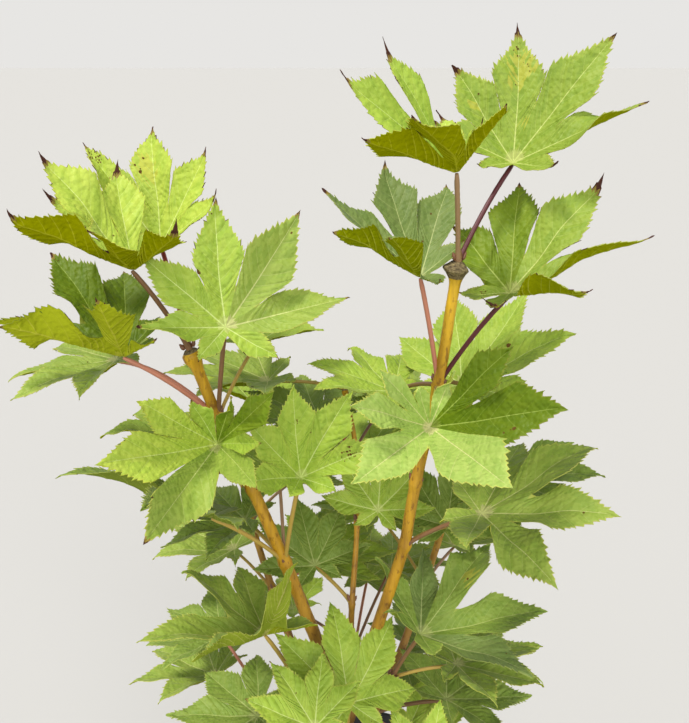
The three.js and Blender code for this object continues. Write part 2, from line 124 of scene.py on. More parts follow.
# Each mass of leaves: its name, seed, foot and tip radius, line, the leaves that show in front,
# and the node and bearing of each grown one
MASSES = (
    ("crown_left", 11, 2.5, 2,
     ((-24.2, 0, 331.2), (-36, 0, 366), (-47.2, 0, 396.2), (-55.6, 0, 423.5)),
     (posed(3, (-12, 20, 33), 88, -36, 6, 35, 43, "bright", "red", skew=0.12, scorch=1,
            turns={4: 20}, folds={4: 50},
            spots=((4, 0.86, -0.3, 4, "speck"), (3, 0.62, 0.4, 5, "yellowed"))),
      posed(3, (-15, -8, 32), 218, -22, 11, 27, 44, "bright", "brown", skew=-0.08, scorch=1,
            rises=(5, 10, 0, -20, -5, 12, 30), turns={1: -18, 2: -40, 3: 55}),
      # Painted shade: its shaded kind stands for the shadow of the leaf above it
      posed(2, (-31, -5, 27), 188, -8, 0, 33, 50, "olive", "pink", scorch=0.5,
            rises=(0, -5, 0, -22, -10, 10, 0), turns={2: -25, 3: 25, 4: 64}),
      posed(2, (6, -6, 38), 112, -66, 2, 6, 44, "fresh", "brown", skew=-0.2, scorch=0.4,
            turns={1: -45, 5: 40}, folds={5: 40}, tones={1: "grey", 2: "grey"}),
      # Its lobes wear painted light where they are lit and painted shade where they stand in shadow
      posed(2, (4, -26, 3), 283, 61, -3, 48, 49, "fresh", "ochre", skew=-0.07, scorch=0.3,
            rises=(-8, 3, -1, 0, 19, 24, 2, -12), lobes=EVEN_LOBES, turns={3: -30, 7: 75}, folds={7: 70},
            tones={1: "bright", 2: "bright", 3: "grey", 4: "grey", 6: "mossy", 7: "mossy"}),
      posed(2, (-40, 14, 18), 185, 12, 0, 4, 42, "grey", "pink", arch=0.22),
      posed(0, (8, -11, 46), 117, -52, 9, 36, 39, "fresh", "ochre", rises=(0, 3, -5, 5, 10, 10, 15),
            spots=((1, 0.62, 0.1, 3.5, "speck"), (3, 0.62, -0.3, 1.2, "speck"))),
      posed(0, (-25, -14, 31), 165, -10, -32, 4, 50, "deep", "ochre", skew=0.3),
      posed(0, (-19, 24, 4), 165, 10, 0, 4, 38, "deep", "ochre")),
     ((2, 75), (0, 100))),
    ("crown_right", 23, 2.3, 1.9,
     ((24.3, 0, 339.4), (27.5, 0, 368), (34.3, 0, 409.7), (39, 0, 455.8)),
     (posed(3, (-4, -12, 32), 222, 20, 4, 46, 44, "bright", "tan", skew=-0.1, scorch=1,
            rises=(-10, 15, 5, -10, 0, 0, 10), turns={2: -40, 3: 35, 4: 0}, bends={4: -0.38},
            tones={1: "fresh", 2: "fresh"}),
      posed(3, (20, 18, 31), 75, -40, 2, 29, 46, "muted", "burgundy", skew=-0.2, scorch=0.8, turns={1: -42},
            spots=((3, 0.7, -0.2, 6.5, "yellowed"), (3, 0.3, -0.5, 1.6, "yellowed"),
                   (4, 0.6, 0.3, 2.2, "yellowed"), (3, 0.84, 0.6, 1.6, "speck"))),
      # Two of its lobes wear painted shade, for the shadow of the leaves above them
      posed(2, (22, -6, 37), 19, -27, 0, 24, 48, "muted", "burgundy", skew=-0.07, scorch=1,
            rises=(-5, -10, -15, -5, 5, 0, -20), turns={1: -55, 2: -30, 3: 32},
            tones={4: "mossy", 5: "mossy"}, spots=((6, 0.5, -0.2, 1.6, "speck"),)),
      # Painted shade: its shaded kind stands for the shade of the leaves above it
      posed(2, (-8, 0, 41), 157, -6, 8, 32, 45, "dusky", "pink", skew=-0.06, scorch=0.5,
            rises=(0, 0, 5, 0, 0, 10, -15), turns={4: 40}, bends={4: 0.3},
            spots=((1, 0.35, 0.4, 1.3, "speck"),)),
      # Two of its lobes wear painted shade, for the shadow of the leaves above them
      posed(2, (-5, -22, -6), 264, 46, -3, 40, 48, "pale", "ochre", skew=0.18, lobes=EVEN_LOBES,
            rises=(15, 15, 10, -5, 5, 0, 5, -10), turns={7: 75}, folds={7: 70},
            tones={5: "olive", 6: "olive"}, spots=((5, 0.62, -0.3, 1.1, "speck"),
                                                   (5, 0.63, -0.6, 1.1, "speck"),
                                                   (5, 0.6, -0.8, 1.4, "speck"))),
      posed(2, (13, 25, -11), 36, -34, 0, 8, 50, "fresh", "brown"),
      posed(2, (-14, 30, -16), 165, -10, 0, 6, 38, "fresh", "brown"),
      posed(0, (27, -12, 23), 336, -5, 0, 9, 50, "grey", "brown", skew=0.14,
            rises=(0, 5, -15, 0, 10, 0, 0), turns={1: 15, 2: 35, 3: 28}),
      posed(0, (20, 22, -6), 75, -35, 0, 5, 36, "deep", "ochre")),
     ((1, 80), (0, 100))),
    ("crown_back", 35, 1.3, 1, ((3.3, 16, 297), (5.6, 30, 330), (5, 42, 360), (0, 50, 386)),
     (posed(2, (-15, -7, 17), 150, 0, 0, 10, 40, "deep", "red"),
      posed(1, (9, -3, 8), 80, -50, 0, 12, 30, "fresh", "red"),
      posed(0, (-17, 16, 8), 110, -30, 0, 8, 34, "deep", "ochre")),
     ((1, 70), (2, 340), (2, 60), (3, 70), (3, 210), (3, 0))),
    ("far_left", 47, 1.7, 1.2, ((-34, 36, 288), (-44, 48, 318), (-50, 56, 346)), (),
     ((0, 140), (0, 40), (1, 80), (1, 150), (2, 210), (2, 140), (2, 90))),
    ("far_right", 59, 1.7, 1.2, ((38, 38, 290), (48, 50, 320), (53, 58, 350)), (),
     ((0, 40), (0, 130), (1, 80), (1, 50), (2, 320), (2, 20), (2, 150))),
    ("low_left", 61, 1.7, 1.3, ((-3, -1.5, 226), (-13, -7, 250), (-19, -10, 275)),
     (posed(2, (-13, -2, 30), 205, -11, -10, 26, 52, "grey", "ochre", skew=0.2,
            rises=(15, 0, 0, -20, -10, 30, 0), turns={4: 30, 5: 40}, folds={4: 74, 5: 74},
            tones={4: "pale", 5: "pale"}, spots=((3, 0.45, 0.2, 2, "yellowed"),)),
      posed(1, (-24, -6, 12), 178, 8, 0, 4, 40, "deep", "brown")),
     ((1, 235), (1, 270))),
    ("low_front", 73, 1.7, 1.3, ((0.3, -2.5, 220), (1, -12, 240), (1, -18, 254)),
     (posed(2, (1, -9, 30), 103, -36, -8, -2, 41, "fresh", "ochre", rises=(0, -15, 5, 0, 0, 0, 0)),
      posed(2, (-12, -27, 37), 132, -15, 0, 14, 29, "fresh", "ochre", scorch=0.3),
      posed(1, (31, -32, 21), 75, -20, 0, 15, 31, "fresh", "ochre")),
     ((1, 265), (1, 300))),
    ("low_right", 85, 1.7, 1.3, ((3, -1, 232), (13, -5, 255), (20, -8, 278)),
     # Two of its lobes wear painted shade
     (posed(2, (11, -2, 25), 45, 10, -3, 23, 50, "deep", "brown", skew=-0.14,
            rises=(-5, -10, -5, 15, 0, 5, 5), turns={4: 15, 5: 15}, folds={4: 55, 5: 45, 6: 60},
            tones={1: "dusky", 4: "dusky"}, spots=((3, 0.55, -0.5, 4, "yellowed"),)),
      posed(1, (31, -1, 9), 40, 5, 0, 6, 38, "deep", "brown")),
     ((1, 315), (2, 340))),
    ("low_back", 98, 1.9, 1.3, ((0, 2.5, 200), (3, 22, 226), (5, 36, 252)), (),
     ((1, 330), (1, 190), (2, 80), (2, 70), (2, 120))),
    ("low_far_left", 110, 1.9, 1.3, ((-3, 1, 190), (-22, 10, 212), (-36, 16, 234)), (),
     ((1, 220), (1, 80), (2, 140), (2, 210), (2, 130))),
    ("low_far_right", 127, 1.9, 1.3, ((3, 1, 184), (22, 8, 206), (37, 12, 228)), (),
     ((1, 320), (1, 70), (2, 20), (2, 310), (2, 90))),
)


# Growth rule of the part's source

def random_from(seed):
    """The same random numbers from the same seed as in the part's source."""
    state = seed

    def draw():
        nonlocal state
        state = (state * 1664525 + 1013904223) & 0xFFFFFFFF
        return state / 2 ** 32
    return draw


def between(draw, low, high):
    return low + (high - low) * draw()


def smooth_line(line, steps):
    """Points along the curve through a line's points, in steps that are even by its parameter."""
    given = np.array(line, float)
    ends = np.vstack([2 * given[0] - given[1], given, 2 * given[-1] - given[-2]])
    stretches = len(given) - 1
    at = np.linspace(0, stretches, steps + 1)
    first = np.minimum(at.astype(int), stretches - 1)
    share = (at - first)[:, None]
    a, b, c, d = (ends[first + k] for k in range(4))
    start, stop = (c - a) / 2, (d - b) / 2
    bend = (2 * b - 2 * c + start + stop) * share + (3 * c - 3 * b - 2 * start - stop)
    return (bend * share + start) * share + b


def blade_frame(leaf):
    """A blade's directions: along its middle lobe, to its left, and out of its upper face."""
    bearing, slope, roll = (math.radians(leaf[key]) for key in ("heading", "dip", "roll"))
    ahead = np.array([math.cos(bearing), math.sin(bearing), 0])
    middle = ahead * math.cos(slope) - np.array([0, 0, math.sin(slope)])
    flat_up = ahead * math.sin(slope) + np.array([0, 0, math.cos(slope)])
    up = flat_up * math.cos(roll) - np.cross(middle, flat_up) * math.sin(roll)
    return middle, np.cross(up, middle), up


def lobes_of(leaf):
    """A leaf's lobes: angle, length and rise, larger on the left where its skew is positive."""
    skew, lobes = leaf.get("skew", 0), leaf.get("lobes", ODD_LOBES)
    rises = leaf.get("rises", (0,) * len(lobes))
    return [(angle, length * (1 + skew * math.sin(math.radians(angle))), rise)
            for (angle, length), rise in zip(lobes, rises)]


def feelers(leaf):
    """Points along a leaf's stalk and ribs, which tell how near it comes to something else."""
    middle, side, up = blade_frame(leaf)
    points = [leaf["at"] + (leaf["centre"] - leaf["at"]) * share for share in STALK_FEELERS]
    for angle, length, rise in lobes_of(leaf):
        turn, lift = math.radians(angle), math.radians(leaf["cup"] + rise)
        outward = middle * math.cos(turn) + side * math.sin(turn)
        rib = outward * math.cos(lift) + up * math.sin(lift)
        points += [leaf["centre"] + rib * share * length * leaf["span"] for share in RIB_FEELERS]
    return np.array(points)


def grown_leaf(node, bearing, draw):
    """A leaf on a long stalk that leaves its node at about this bearing."""
    heading = bearing + between(draw, -25, 25)
    rise = math.radians(between(draw, 0, 60))
    stalk_length = between(draw, 28, 44)
    flat = stalk_length * math.cos(rise)
    turn = math.radians(heading)
    reach = (flat * math.cos(turn), flat * math.sin(turn), stalk_length * math.sin(rise))
    heading += between(draw, -20, 20)
    return posed(node, reach, heading, *(between(draw, low, high) for low, high in GROWN_POSE))


def on_stem(line, leaf):
    at = np.array(line[leaf["node"]], float)
    return dict(leaf, at=at, centre=at + np.array(leaf["reach"]))


def place_leaves():
    """Where every leaf of every mass sits, by the rule of the part's source."""
    lines = [bough[3] for bough in BOUGHS] + [mass[4] for mass in MASSES]
    shown = [[on_stem(mass[4], leaf) for leaf in mass[5]] for mass in MASSES]
    taken = np.vstack([smooth_line(line, 8) for line in lines]
                      + [feelers(leaf) for leaves in shown for leaf in leaves])
    for mass, leaves in zip(MASSES, shown):
        draw = random_from(mass[1])
        for node, bearing in mass[6]:
            for _ in range(TRIES):
                leaf = on_stem(mass[4], grown_leaf(node, bearing, draw))
                points = feelers(leaf)
                wide, deep = points[:, 0] / CROWN_HALF_WIDTH, points[:, 1] / CROWN_REACH
                inside = (points[:, 2] > LOWEST_LEAF) & (np.hypot(wide, deep) < 1)
                apart = np.linalg.norm(points[:, None] - taken[None], axis=2)
                if inside.all() and (apart >= OWN_SPACE).all():
                    leaves.append(leaf)
                    taken = np.vstack([taken, points])
                    break
    return shown


# Meshes and materials

def soft_step(low, high, value):
    share = np.clip((value - low) / (high - low), 0, 1)
    return share * share * (3 - 2 * share)


def bearings(count):
    """Even directions all the way round."""
    return 2 * np.pi * np.arange(count) / count


def add_object(name, data):
    added = bpy.data.objects.new(name, data)
    bpy.context.scene.collection.objects.link(added)
    return added


def make_piece(name, points, faces, materials, worn=None, crease=50):
    """A smooth mesh object, from points in millimetres and arrays of faces with as many corners each."""
    mesh = bpy.data.meshes.new(name)
    faces = [face for group in faces for face in np.asarray(group).tolist()]
    mesh.from_pydata(np.asarray(points) * MM, [], faces, shade_flat=False)
    for material in materials:
        mesh.materials.append(material)
    if worn is not None:
        mesh.polygons.foreach_set("material_index", np.asarray(worn, np.int32))
    mesh.set_sharp_from_angle(angle=math.radians(crease))
    return add_object(name, mesh)


def new_material(name, colour, roughness, **sockets):
    """A material with a plain base colour."""
    material = bpy.data.materials.new(name)
    material.use_nodes = True
    inputs = material.node_tree.nodes["Principled BSDF"].inputs
    inputs["Base Color"].default_value = (*colour, 1)
    inputs["Roughness"].default_value = roughness
    for socket, value in sockets.items():
        inputs[socket.replace("_", " ")].default_value = value
    return material


def add_node(material, kind, inputs=(), **settings):
    node = material.node_tree.nodes.new(kind)
    for key, value in settings.items():
        setattr(node, key, value)
    for key, value in dict(inputs).items():
        if isinstance(value, bpy.types.NodeSocket):
            material.node_tree.links.new(value, node.inputs[key])
        else:
            node.inputs[key].default_value = value
    return node


def coordinates(material, kind="Object"):
    return add_node(material, "ShaderNodeTexCoord").outputs[kind]


def height_of(material, place):
    return add_node(material, "ShaderNodeSeparateXYZ", {"Vector": place}).outputs["Z"]


def pattern(material, scale, detail=4, roughness=0.6, stretch=(1, 1, 1)):
    """Noise over the piece's own coordinates, from 0 to 1."""
    sized = add_node(material, "ShaderNodeMapping", {"Vector": coordinates(material), "Scale": stretch})
    noise = add_node(material, "ShaderNodeTexNoise", {
        "Vector": sized.outputs["Vector"], "Scale": scale, "Detail": detail, "Roughness": roughness,
    })
    return noise.outputs["Fac"]


def netted(material):
    """The fine net of small veins in a leaf's surface, as a height from 0 to 1."""
    cells = add_node(material, "ShaderNodeTexVoronoi", {
        "Vector": coordinates(material), "Scale": 620, "Randomness": 1,
    }, feature="SMOOTH_F1")
    soft = pattern(material, 260, 3)
    return add_node(material, "ShaderNodeMath", {0: cells.outputs["Distance"], 1: soft},
                    operation="ADD").outputs["Value"]


def ramp(material, source, stops):
    """Colours, or greys, along a source from 0 to 1."""
    node = add_node(material, "ShaderNodeValToRGB", {"Fac": source})
    elements = node.color_ramp.elements
    while len(elements) < len(stops):
        elements.new(0.5)
    for element, (place, colour) in zip(elements, stops):
        element.position = place
        element.color = (*colour, 1)
    return node.outputs["Color"]


def multiply(material, share, first, second):
    """The first colour, darkened or lightened by a share of the second."""
    node = add_node(material, "ShaderNodeMix", {0: share, 6: first, 7: second},
                    data_type="RGBA", blend_type="MULTIPLY")
    return node.outputs[2]


def wear(material, height, depth=0.0002, strength=1.0, colour=None, roughness=None):
    """Gives a material a bump from a height, and patterns for its colour and roughness."""
    bump = add_node(material, "ShaderNodeBump", {"Height": height, "Distance": depth, "Strength": strength})
    inputs = material.node_tree.nodes["Principled BSDF"].inputs
    for socket, value in (("Base Color", colour), ("Roughness", roughness), ("Normal", bump.outputs[0])):
        if value is not None:
            material.node_tree.links.new(value, inputs[socket])
    return material


# Colours by kind of leaf, of its upper face's four parts and of its underside and the ribs there.
# The shaded kinds are dark greens that paint shade on leaves and lobes that stand in shadow, and
# the bright kind's light greens are partly painted light that shines through from behind. The
# undersides' yellow greens are partly their own colour and partly painted light shining through.
COLOURED = ("blade", "vein", "margin", "middle", "under", "rib")
LEAF_KINDS = {
    # Partly painted light: lighter than the leaf's own colour, for light shining through from behind
    "bright": ((0.425, 0.545, 0.065), (0.62, 0.70, 0.22), (0.46, 0.50, 0.06),
               (0.52, 0.60, 0.11), (0.265, 0.28, 0.001), (0.36, 0.365, 0.015)),
    "fresh": ((0.33, 0.46, 0.050), (0.56, 0.66, 0.20), (0.42, 0.48, 0.07),
              (0.44, 0.51, 0.13), (0.25, 0.29, 0.003), (0.36, 0.39, 0.04)),
    "muted": ((0.25, 0.35, 0.038), (0.50, 0.56, 0.16), (0.38, 0.42, 0.07),
              (0.40, 0.44, 0.12), (0.27, 0.30, 0.003), (0.37, 0.39, 0.04)),
    # Painted shade: darker greens for lobes in the shadow of leaves above
    "mossy": ((0.165, 0.245, 0.011), (0.37, 0.45, 0.09), (0.22, 0.26, 0.03),
              (0.28, 0.33, 0.06), (0.27, 0.30, 0.003), (0.37, 0.39, 0.04)),
    # Painted shade for shadowed lobes and leaves, with an underside of painted light shining through
    "olive": ((0.115, 0.18, 0.004), (0.30, 0.38, 0.07), (0.20, 0.23, 0.02),
              (0.22, 0.27, 0.04), (0.37, 0.42, 0.016), (0.45, 0.47, 0.04)),
    "grey": ((0.28, 0.38, 0.055), (0.54, 0.58, 0.20), (0.42, 0.45, 0.08),
             (0.44, 0.45, 0.16), (0.24, 0.28, 0.015), (0.38, 0.40, 0.08)),
    # Painted shade: darker greens for leaves in the shadow of leaves above
    "dusky": ((0.17, 0.24, 0.055), (0.42, 0.47, 0.18), (0.26, 0.31, 0.07),
              (0.30, 0.34, 0.12), (0.24, 0.27, 0.002), (0.36, 0.38, 0.03)),
    "pale": ((0.37, 0.50, 0.105), (0.64, 0.62, 0.27), (0.52, 0.55, 0.11),
             (0.56, 0.54, 0.24), (0.25, 0.31, 0.03), (0.40, 0.40, 0.10)),
    "deep": ((0.21, 0.30, 0.045), (0.42, 0.49, 0.15), (0.32, 0.38, 0.07),
             (0.32, 0.37, 0.10), (0.18, 0.23, 0.030), (0.29, 0.33, 0.07)),
}
TINTS = ((0.88, 0.92, 0.86), (1.0, 1.0, 1.0), (1.10, 1.055, 1.15))
YELLOWING = (0.58, 0.48, 0.06)
BROWNS = {"scorch": (0.085, 0.036, 0.026), "singed": (0.26, 0.19, 0.035), "speck": (0.13, 0.070, 0.020)}
DULL = ("scorch", "speck", "under", "rib")
STALK_COLOURS = {
    "red": (0.34, 0.050, 0.035), "pink": (0.52, 0.20, 0.12), "burgundy": (0.10, 0.016, 0.020),
    "brown": (0.22, 0.110, 0.045), "tan": (0.34, 0.20, 0.10), "ochre": (0.46, 0.31, 0.060),
}

# The parts of a blade that have a material of their own, by number
PARTS = ("blade_a", "blade_b", "blade_c", "vein", "lateral", "margin", "middle",
         "under", "rib", "scorch", "singed", "speck", "yellowed")
PART = {name: number for number, name in enumerate(PARTS)}

# Whose colours a lobe wears: its own leaf's, or another kind's, which paint light and shade on
# that lobe alone: darker kinds where it stands in shadow, lighter ones where it is lit
LOBE_SHADINGS = (None, "bright", "fresh", "pale", "grey", "mossy", "olive", "dusky")
leaf_materials = {}


def leaf_material(kind, part):
    """The material of one part of a blade. Its base colour is plain, and its grain is a fine bump."""
    name = part if part in BROWNS else kind + "_" + part
    if name not in leaf_materials:
        colours = dict(zip(COLOURED, np.array(LEAF_KINDS[kind])), **BROWNS)
        blade = colours["blade"]
        colours.update(("blade_" + letter, blade * tint) for letter, tint in zip("abc", TINTS))
        colours["lateral"] = blade * 0.6 + colours["vein"] * 0.4
        colours["yellowed"] = blade * 0.6 + np.array(YELLOWING) * 0.4
        rough, gloss = (0.8, 0.0) if part in DULL else (0.52, 0.25)
        made = new_material("leaf_" + name, colours[part], rough, Specular_IOR_Level=gloss)
        leaf_materials[name] = wear(made, netted(made), 0.0005)
    return leaf_materials[name]


# Leaf blades. A blade's grid has rows that run from each lobe's rib along its lateral veins to
# the teeth of its margin, and columns that run along the lobe.
BASAL_ROWS = 6
FULL_LOBE = 0.7
SHOWN_VEINS = (8, 5)
GROWN_VEINS = (6, 4)
FREE_LENGTH = 0.92
VEIN_ROWS = ((0, 1, -1), (0, 1, 1), (0.2, -0.3, 0), (0.4, 0.2, 0), (0.55, 0.6, 0), (0.72, -0.3, 0))
TIP_ROWS = (0.955, 0.98, 1)
SPACING_WAVES = ((0.013, 2.6, 1), (0.009, 5.2, 3))
COLUMN_SHARES = (0.26, 0.5, 0.75)

# A lobe's outline: its half width by the share of its length, its notches and its teeth
LOBE_SHAPE = (
    (0, 0.0), (0.2, 0.10), (0.3, 0.14), (0.4, 0.182), (0.48, 0.205), (0.56, 0.203), (0.64, 0.178),
    (0.72, 0.14), (0.8, 0.096), (0.87, 0.056), (0.93, 0.027), (0.97, 0.011), (1, 0.0),
)
WIDTHS = (0.82, 0.92)
NOTCHES = (0.95, 1.5)
USUAL_NOTCH = 0.252
FULL_WIDTH_AT = 0.55
SLIT = 0.004
TOOTH = 0.023
TOOTH_FORWARD = 0.95
TOOTH_OUTWARD = 0.6
TOOTH_SIZES = (0.4, 1.4)
MOST_TEETH = 64

# A lobe's thickness, rib, lateral veins and margin
LEAF_THICKNESS = 0.22
RIB_HALF = 0.28
RIB_SHARE = 0.4
RIB_TAPER = 0.85
RIB_BULGE = 0.5
FARTHEST_FOOT = 0.16
VEIN_HALF = 0.11
VEIN_BULGE = 0.14
VEIN_LEAN = 1.0
VEIN_CURVE = 1.25
MARGIN_INSET = 0.26
INSETS = (0.8, 0.98)
BASAL_INSET = 0.85

# How a blade folds, domes, twists, bends and curls, mostly as the ranges of random draws
FOLDS = (14, 22)
QUILTS = (0.42, 0.62)
TWISTS = (-11, 11)
BENDS = (-0.05, 0.05)
ARCHES = (-0.015, 0.06)
CURLS = (-2.4, 0.4)
DRY_CURL = 5.5
CURLED_FROM = 0.86
MARGIN_WAVES = (0.3, 0.9)
ROLLED = 0.35
WIDEST_CONE = 42

# A lobe's middle patch, the end of its rib, its dry tip and its specks
MIDDLE_PATCH = 0.085
RIB_END = 0.93
LEAST_DRY = 0.12
DRY_TIP = 0.085
SINGED_WIDTH = 0.025
SPECK_SIDES = 7
SPECK_STANDOFF = 0.05
STRAY_SPECKS = 0.0012
SPOT_SPECKS = {"speck": 0.6, "yellowed": 0.12}


def lobe_table():
    """A lobe's half width by the share of its length, smoothed from a few widths."""
    at = np.linspace(0, 1, 401)
    rough = np.interp(at, *np.array(LOBE_SHAPE).T)
    padded = np.pad(rough, 12, mode="reflect", reflect_type="odd")
    smoothed = np.convolve(padded, np.ones(25) / 25, mode="valid")
    return at, np.maximum(smoothed, 0) * soft_step(1.02, 0.96, at)


LOBE_AT, LOBE_HALF = lobe_table()


def free_rows(veins):
    """Rows past the notch: (share of the free margin, tooth, side of a lateral vein, phase)."""
    step = FREE_LENGTH / veins
    rows = [((vein + 0.35) * step + phase * step, tooth, strip, phase)
            for vein in range(veins) for phase, tooth, strip in VEIN_ROWS]
    return np.array(rows + [(at, 0, 0, 0) for at in TIP_ROWS], float)


def grid_faces(ids):
    """The four corners of each face between the rows and columns of a grid of vertex numbers."""
    return np.stack([ids[:-1, :-1], ids[1:, :-1], ids[1:, 1:], ids[:-1, 1:]], -1)


def blade_topology(full_sized, veins):
    """Rows and vertex numbers of each lobe of a blade, and how many vertices it has.

    A lobe's first row is the blade's middle and its last row the lobe's tip. The rays between
    lobes, up to the notches, belong to both lobes beside them.
    """
    number = 1

    def next_numbers(*shape):
        nonlocal number
        first = number
        number += math.prod(shape)
        return np.arange(first, number).reshape(shape)

    columns = 2 * (len(COLUMN_SHARES) + 3)
    rays = [next_numbers(BASAL_ROWS) for _ in full_sized]
    lobes = []
    for index, full in enumerate(full_sized):
        rows = free_rows(veins[0] if full else veins[1])
        ids = np.zeros((BASAL_ROWS + 1 + len(rows), columns), int)
        basal = ids[1:BASAL_ROWS + 1]
        basal[:, 0], basal[:, -1] = rays[index - 1], rays[index]
        basal[:, 1:-1] = next_numbers(BASAL_ROWS, columns - 2)
        ids[BASAL_ROWS + 1:-1] = next_numbers(len(rows) - 1, columns)
        ids[-1] = next_numbers(1)
        lobes.append((ids, rows))
    return lobes, number


def blade_faces(lobes, number):
    """Quads of the upper face, lower face and rim of a closed blade, and its two faces' triangles."""
    quads, triangles, rims = [], [], []
    for ids, _ in lobes:
        quads.append(grid_faces(ids[1:-1]).reshape(-1, 4))
        first, last = ids[1], ids[-2]
        triangles.append(np.stack([np.zeros(len(first) - 1, int), first[:-1], first[1:]], -1))
        triangles.append(np.stack([last[:-1], np.full(len(last) - 1, ids[-1, 0]), last[1:]], -1))
        left, right = ids[BASAL_ROWS:, 0], ids[BASAL_ROWS:, -1]
        for start, stop in ((left[1:], left[:-1]), (right[:-1], right[1:])):
            rims.append(np.stack([start, stop, stop + number, start + number], -1))
    quads, triangles, rims = (np.vstack(group) for group in (quads, triangles, rims))
    return quads, quads[:, ::-1] + number, rims, triangles, triangles[:, ::-1] + number


@functools.cache
def blade_form(full_sized, veins):
    """Rows, vertex numbers and faces, which all leaves with such lobes and veins share."""
    lobes, number = blade_topology(full_sized, veins)
    return lobes, number, blade_faces(lobes, number)


def uneven_rows(rows, phase):
    """Rows whose teeth and veins are spaced unevenly, in a way of their own for each lobe."""
    moved = rows.copy()
    at = rows[:, 0]
    for size, count, turns in SPACING_WAVES:
        moved[:, 0] += size * np.sin(np.pi * at) * np.sin(2 * np.pi * (count * at + turns * phase))
    return moved


def side_margin(start, start_half, ray_slope, rows, widen):
    """Where one side's rows meet the margin, along and across the lobe as shares of its length."""
    along = start + (1 - start) * rows[:, 0]
    usual = np.interp(along, LOBE_AT, LOBE_HALF) * widen
    share = np.clip((along - start) / max(FULL_WIDTH_AT - start, 0.05), 0, 1)
    from_notch = start_half + (along - start) * min(ray_slope, 0.5) * 0.8
    half = usual + (from_notch - usual) * (1 - share) ** 2
    slit = SLIT * soft_step(start, start + 0.07, along)
    half = np.where(ray_slope < 0.6, np.minimum(half, along * ray_slope - slit), half)
    half[-1] = 0
    size = TOOTH * rows[:, 1] * soft_step(0, 0.25, rows[:, 0]) * soft_step(1, 0.8, rows[:, 0])
    return along + size * TOOTH_FORWARD, half + size * TOOTH_OUTWARD


def lobe_grid(lobe, rows, columns, slopes, notches, span, look):
    """One lobe's points in its own directions: along it, to its left, and how far it rises."""
    length, arch, twist, bend, closing, curl, curl_side, wave, phase, widen, teeth = lobe
    rows = uneven_rows(rows, phase)
    basal = np.arange(BASAL_ROWS + 1) / BASAL_ROWS
    flat = np.zeros(BASAL_ROWS + 1)
    edges, leave = [], []
    for slope, notch in zip(slopes, notches):
        start, start_half = notch * math.cos(slope) / length, notch * math.sin(slope) / length
        toothed = rows.copy()
        toothed[:, 1] *= next(teeth)[:len(rows)]
        along, half = side_margin(start, start_half, math.tan(slope), toothed, widen)
        edges.append((np.concatenate([basal * start, along]), np.concatenate([basal * start_half, half])))
        leave.append(max(start - VEIN_LEAN * start_half, 0.06))
    foot = min(sum(leave) / 2, FARTHEST_FOOT)
    plain = USUAL_NOTCH + (1 - USUAL_NOTCH) * rows[:, 0]
    usual = plain - VEIN_LEAN * np.interp(plain, LOBE_AT, LOBE_HALF)
    climb = np.clip((usual - usual[0]) / (1 - usual[0]), 0, 1)
    rib = np.concatenate([basal * foot, foot + 0.02 + (1 - foot - 0.02) * climb])
    strip, quilt = (np.concatenate([flat, rows[:, k]]) for k in (2, 3))
    size = length * span
    rib_half = np.minimum(RIB_HALF * (1 - RIB_TAPER * rib) * min(1, 0.5 + length / 2),
                          RIB_SHARE * np.minimum(edges[0][1], edges[1][1]) * size)
    rib_half[-1] = 0
    x, y, across = np.zeros((3, len(rib), columns))
    for sign, (edge_x, edge_y) in zip((-1, 1), edges):
        wide = edge_y * size
        inset = np.clip(1 - MARGIN_INSET / np.maximum(wide - rib_half, 0.01), *INSETS)
        inset[:BASAL_ROWS + 1] = BASAL_INSET
        for step, share in enumerate((0, *COLUMN_SHARES, inset, 1)):
            column = columns // 2 + (step if sign > 0 else -1 - step)
            reach = rib_half + (wide - rib_half) * share
            lean = np.divide(reach, wide, out=np.zeros(len(rib)), where=wide > 1e-6) ** VEIN_CURVE
            x[:, column] = (rib + (edge_x - rib) * lean) * size + strip * VEIN_HALF * (1 - 0.7 * share)
            y[:, column] = reach * sign
            across[:, column] = share
    x[0] = y[0] = 0
    x[-1], y[-1] = size, 0
    s = x / size
    begin = max(edge[0][BASAL_ROWS] for edge in edges)
    past = soft_step(begin, begin + 0.33, s)
    rise = math.tan(math.radians(look["fold"])) * np.abs(y) * (1 - 0.45 * soft_step(0.35, 1, s))
    domes = np.sin(np.pi * np.clip(quilt / 0.95, 0, 1))[:, None] * np.sin(np.pi * across ** 0.8)
    uneven = 0.7 + 0.3 * np.sin(11 * s + 6.3 * phase + 2 * np.sign(y)) + 0.3 * np.sin(29 * s - 5 * phase)
    rise += look["quilt"] * domes * uneven * min(1, length + 0.2)
    rise += past * wave * np.sin(2 * np.pi * (2.3 * s + phase) + np.sign(y)) * across ** 2
    closed = past * math.radians(closing)
    rise += ROLLED * np.abs(y) * np.sin(closed)
    y = y * np.cos(closed)
    turned = past * math.radians(twist)
    y, rise = y * np.cos(turned) - rise * np.sin(turned), y * np.sin(turned) + rise * np.cos(turned)
    rise += past * arch * 4 * s * (1 - s) * size
    tip = np.clip((s - CURLED_FROM) / (1 - CURLED_FROM), 0, 1) ** 2
    rise += curl * tip
    y = y + past * bend * size * s * s + curl_side * tip
    thick = LEAF_THICKNESS + np.where((across == 0) & (s < 0.95), RIB_BULGE * (1 - 0.8 * s), 0)
    thick = thick + np.where(strip[:, None] != 0, VEIN_BULGE * (1 - across), 0)
    return x, y, rise, thick, s


def unit(vectors):
    return vectors / np.maximum(np.linalg.norm(vectors, axis=-1, keepdims=True), 1e-9)


def vertex_normals(points, quads):
    """Mean face direction at each vertex of a sheet."""
    a, b, c, d = (points[quads[:, k]] for k in range(4))
    total = np.zeros_like(points)
    for corner in range(4):
        np.add.at(total, quads[:, corner], np.cross(c - a, d - b))
    return unit(total)


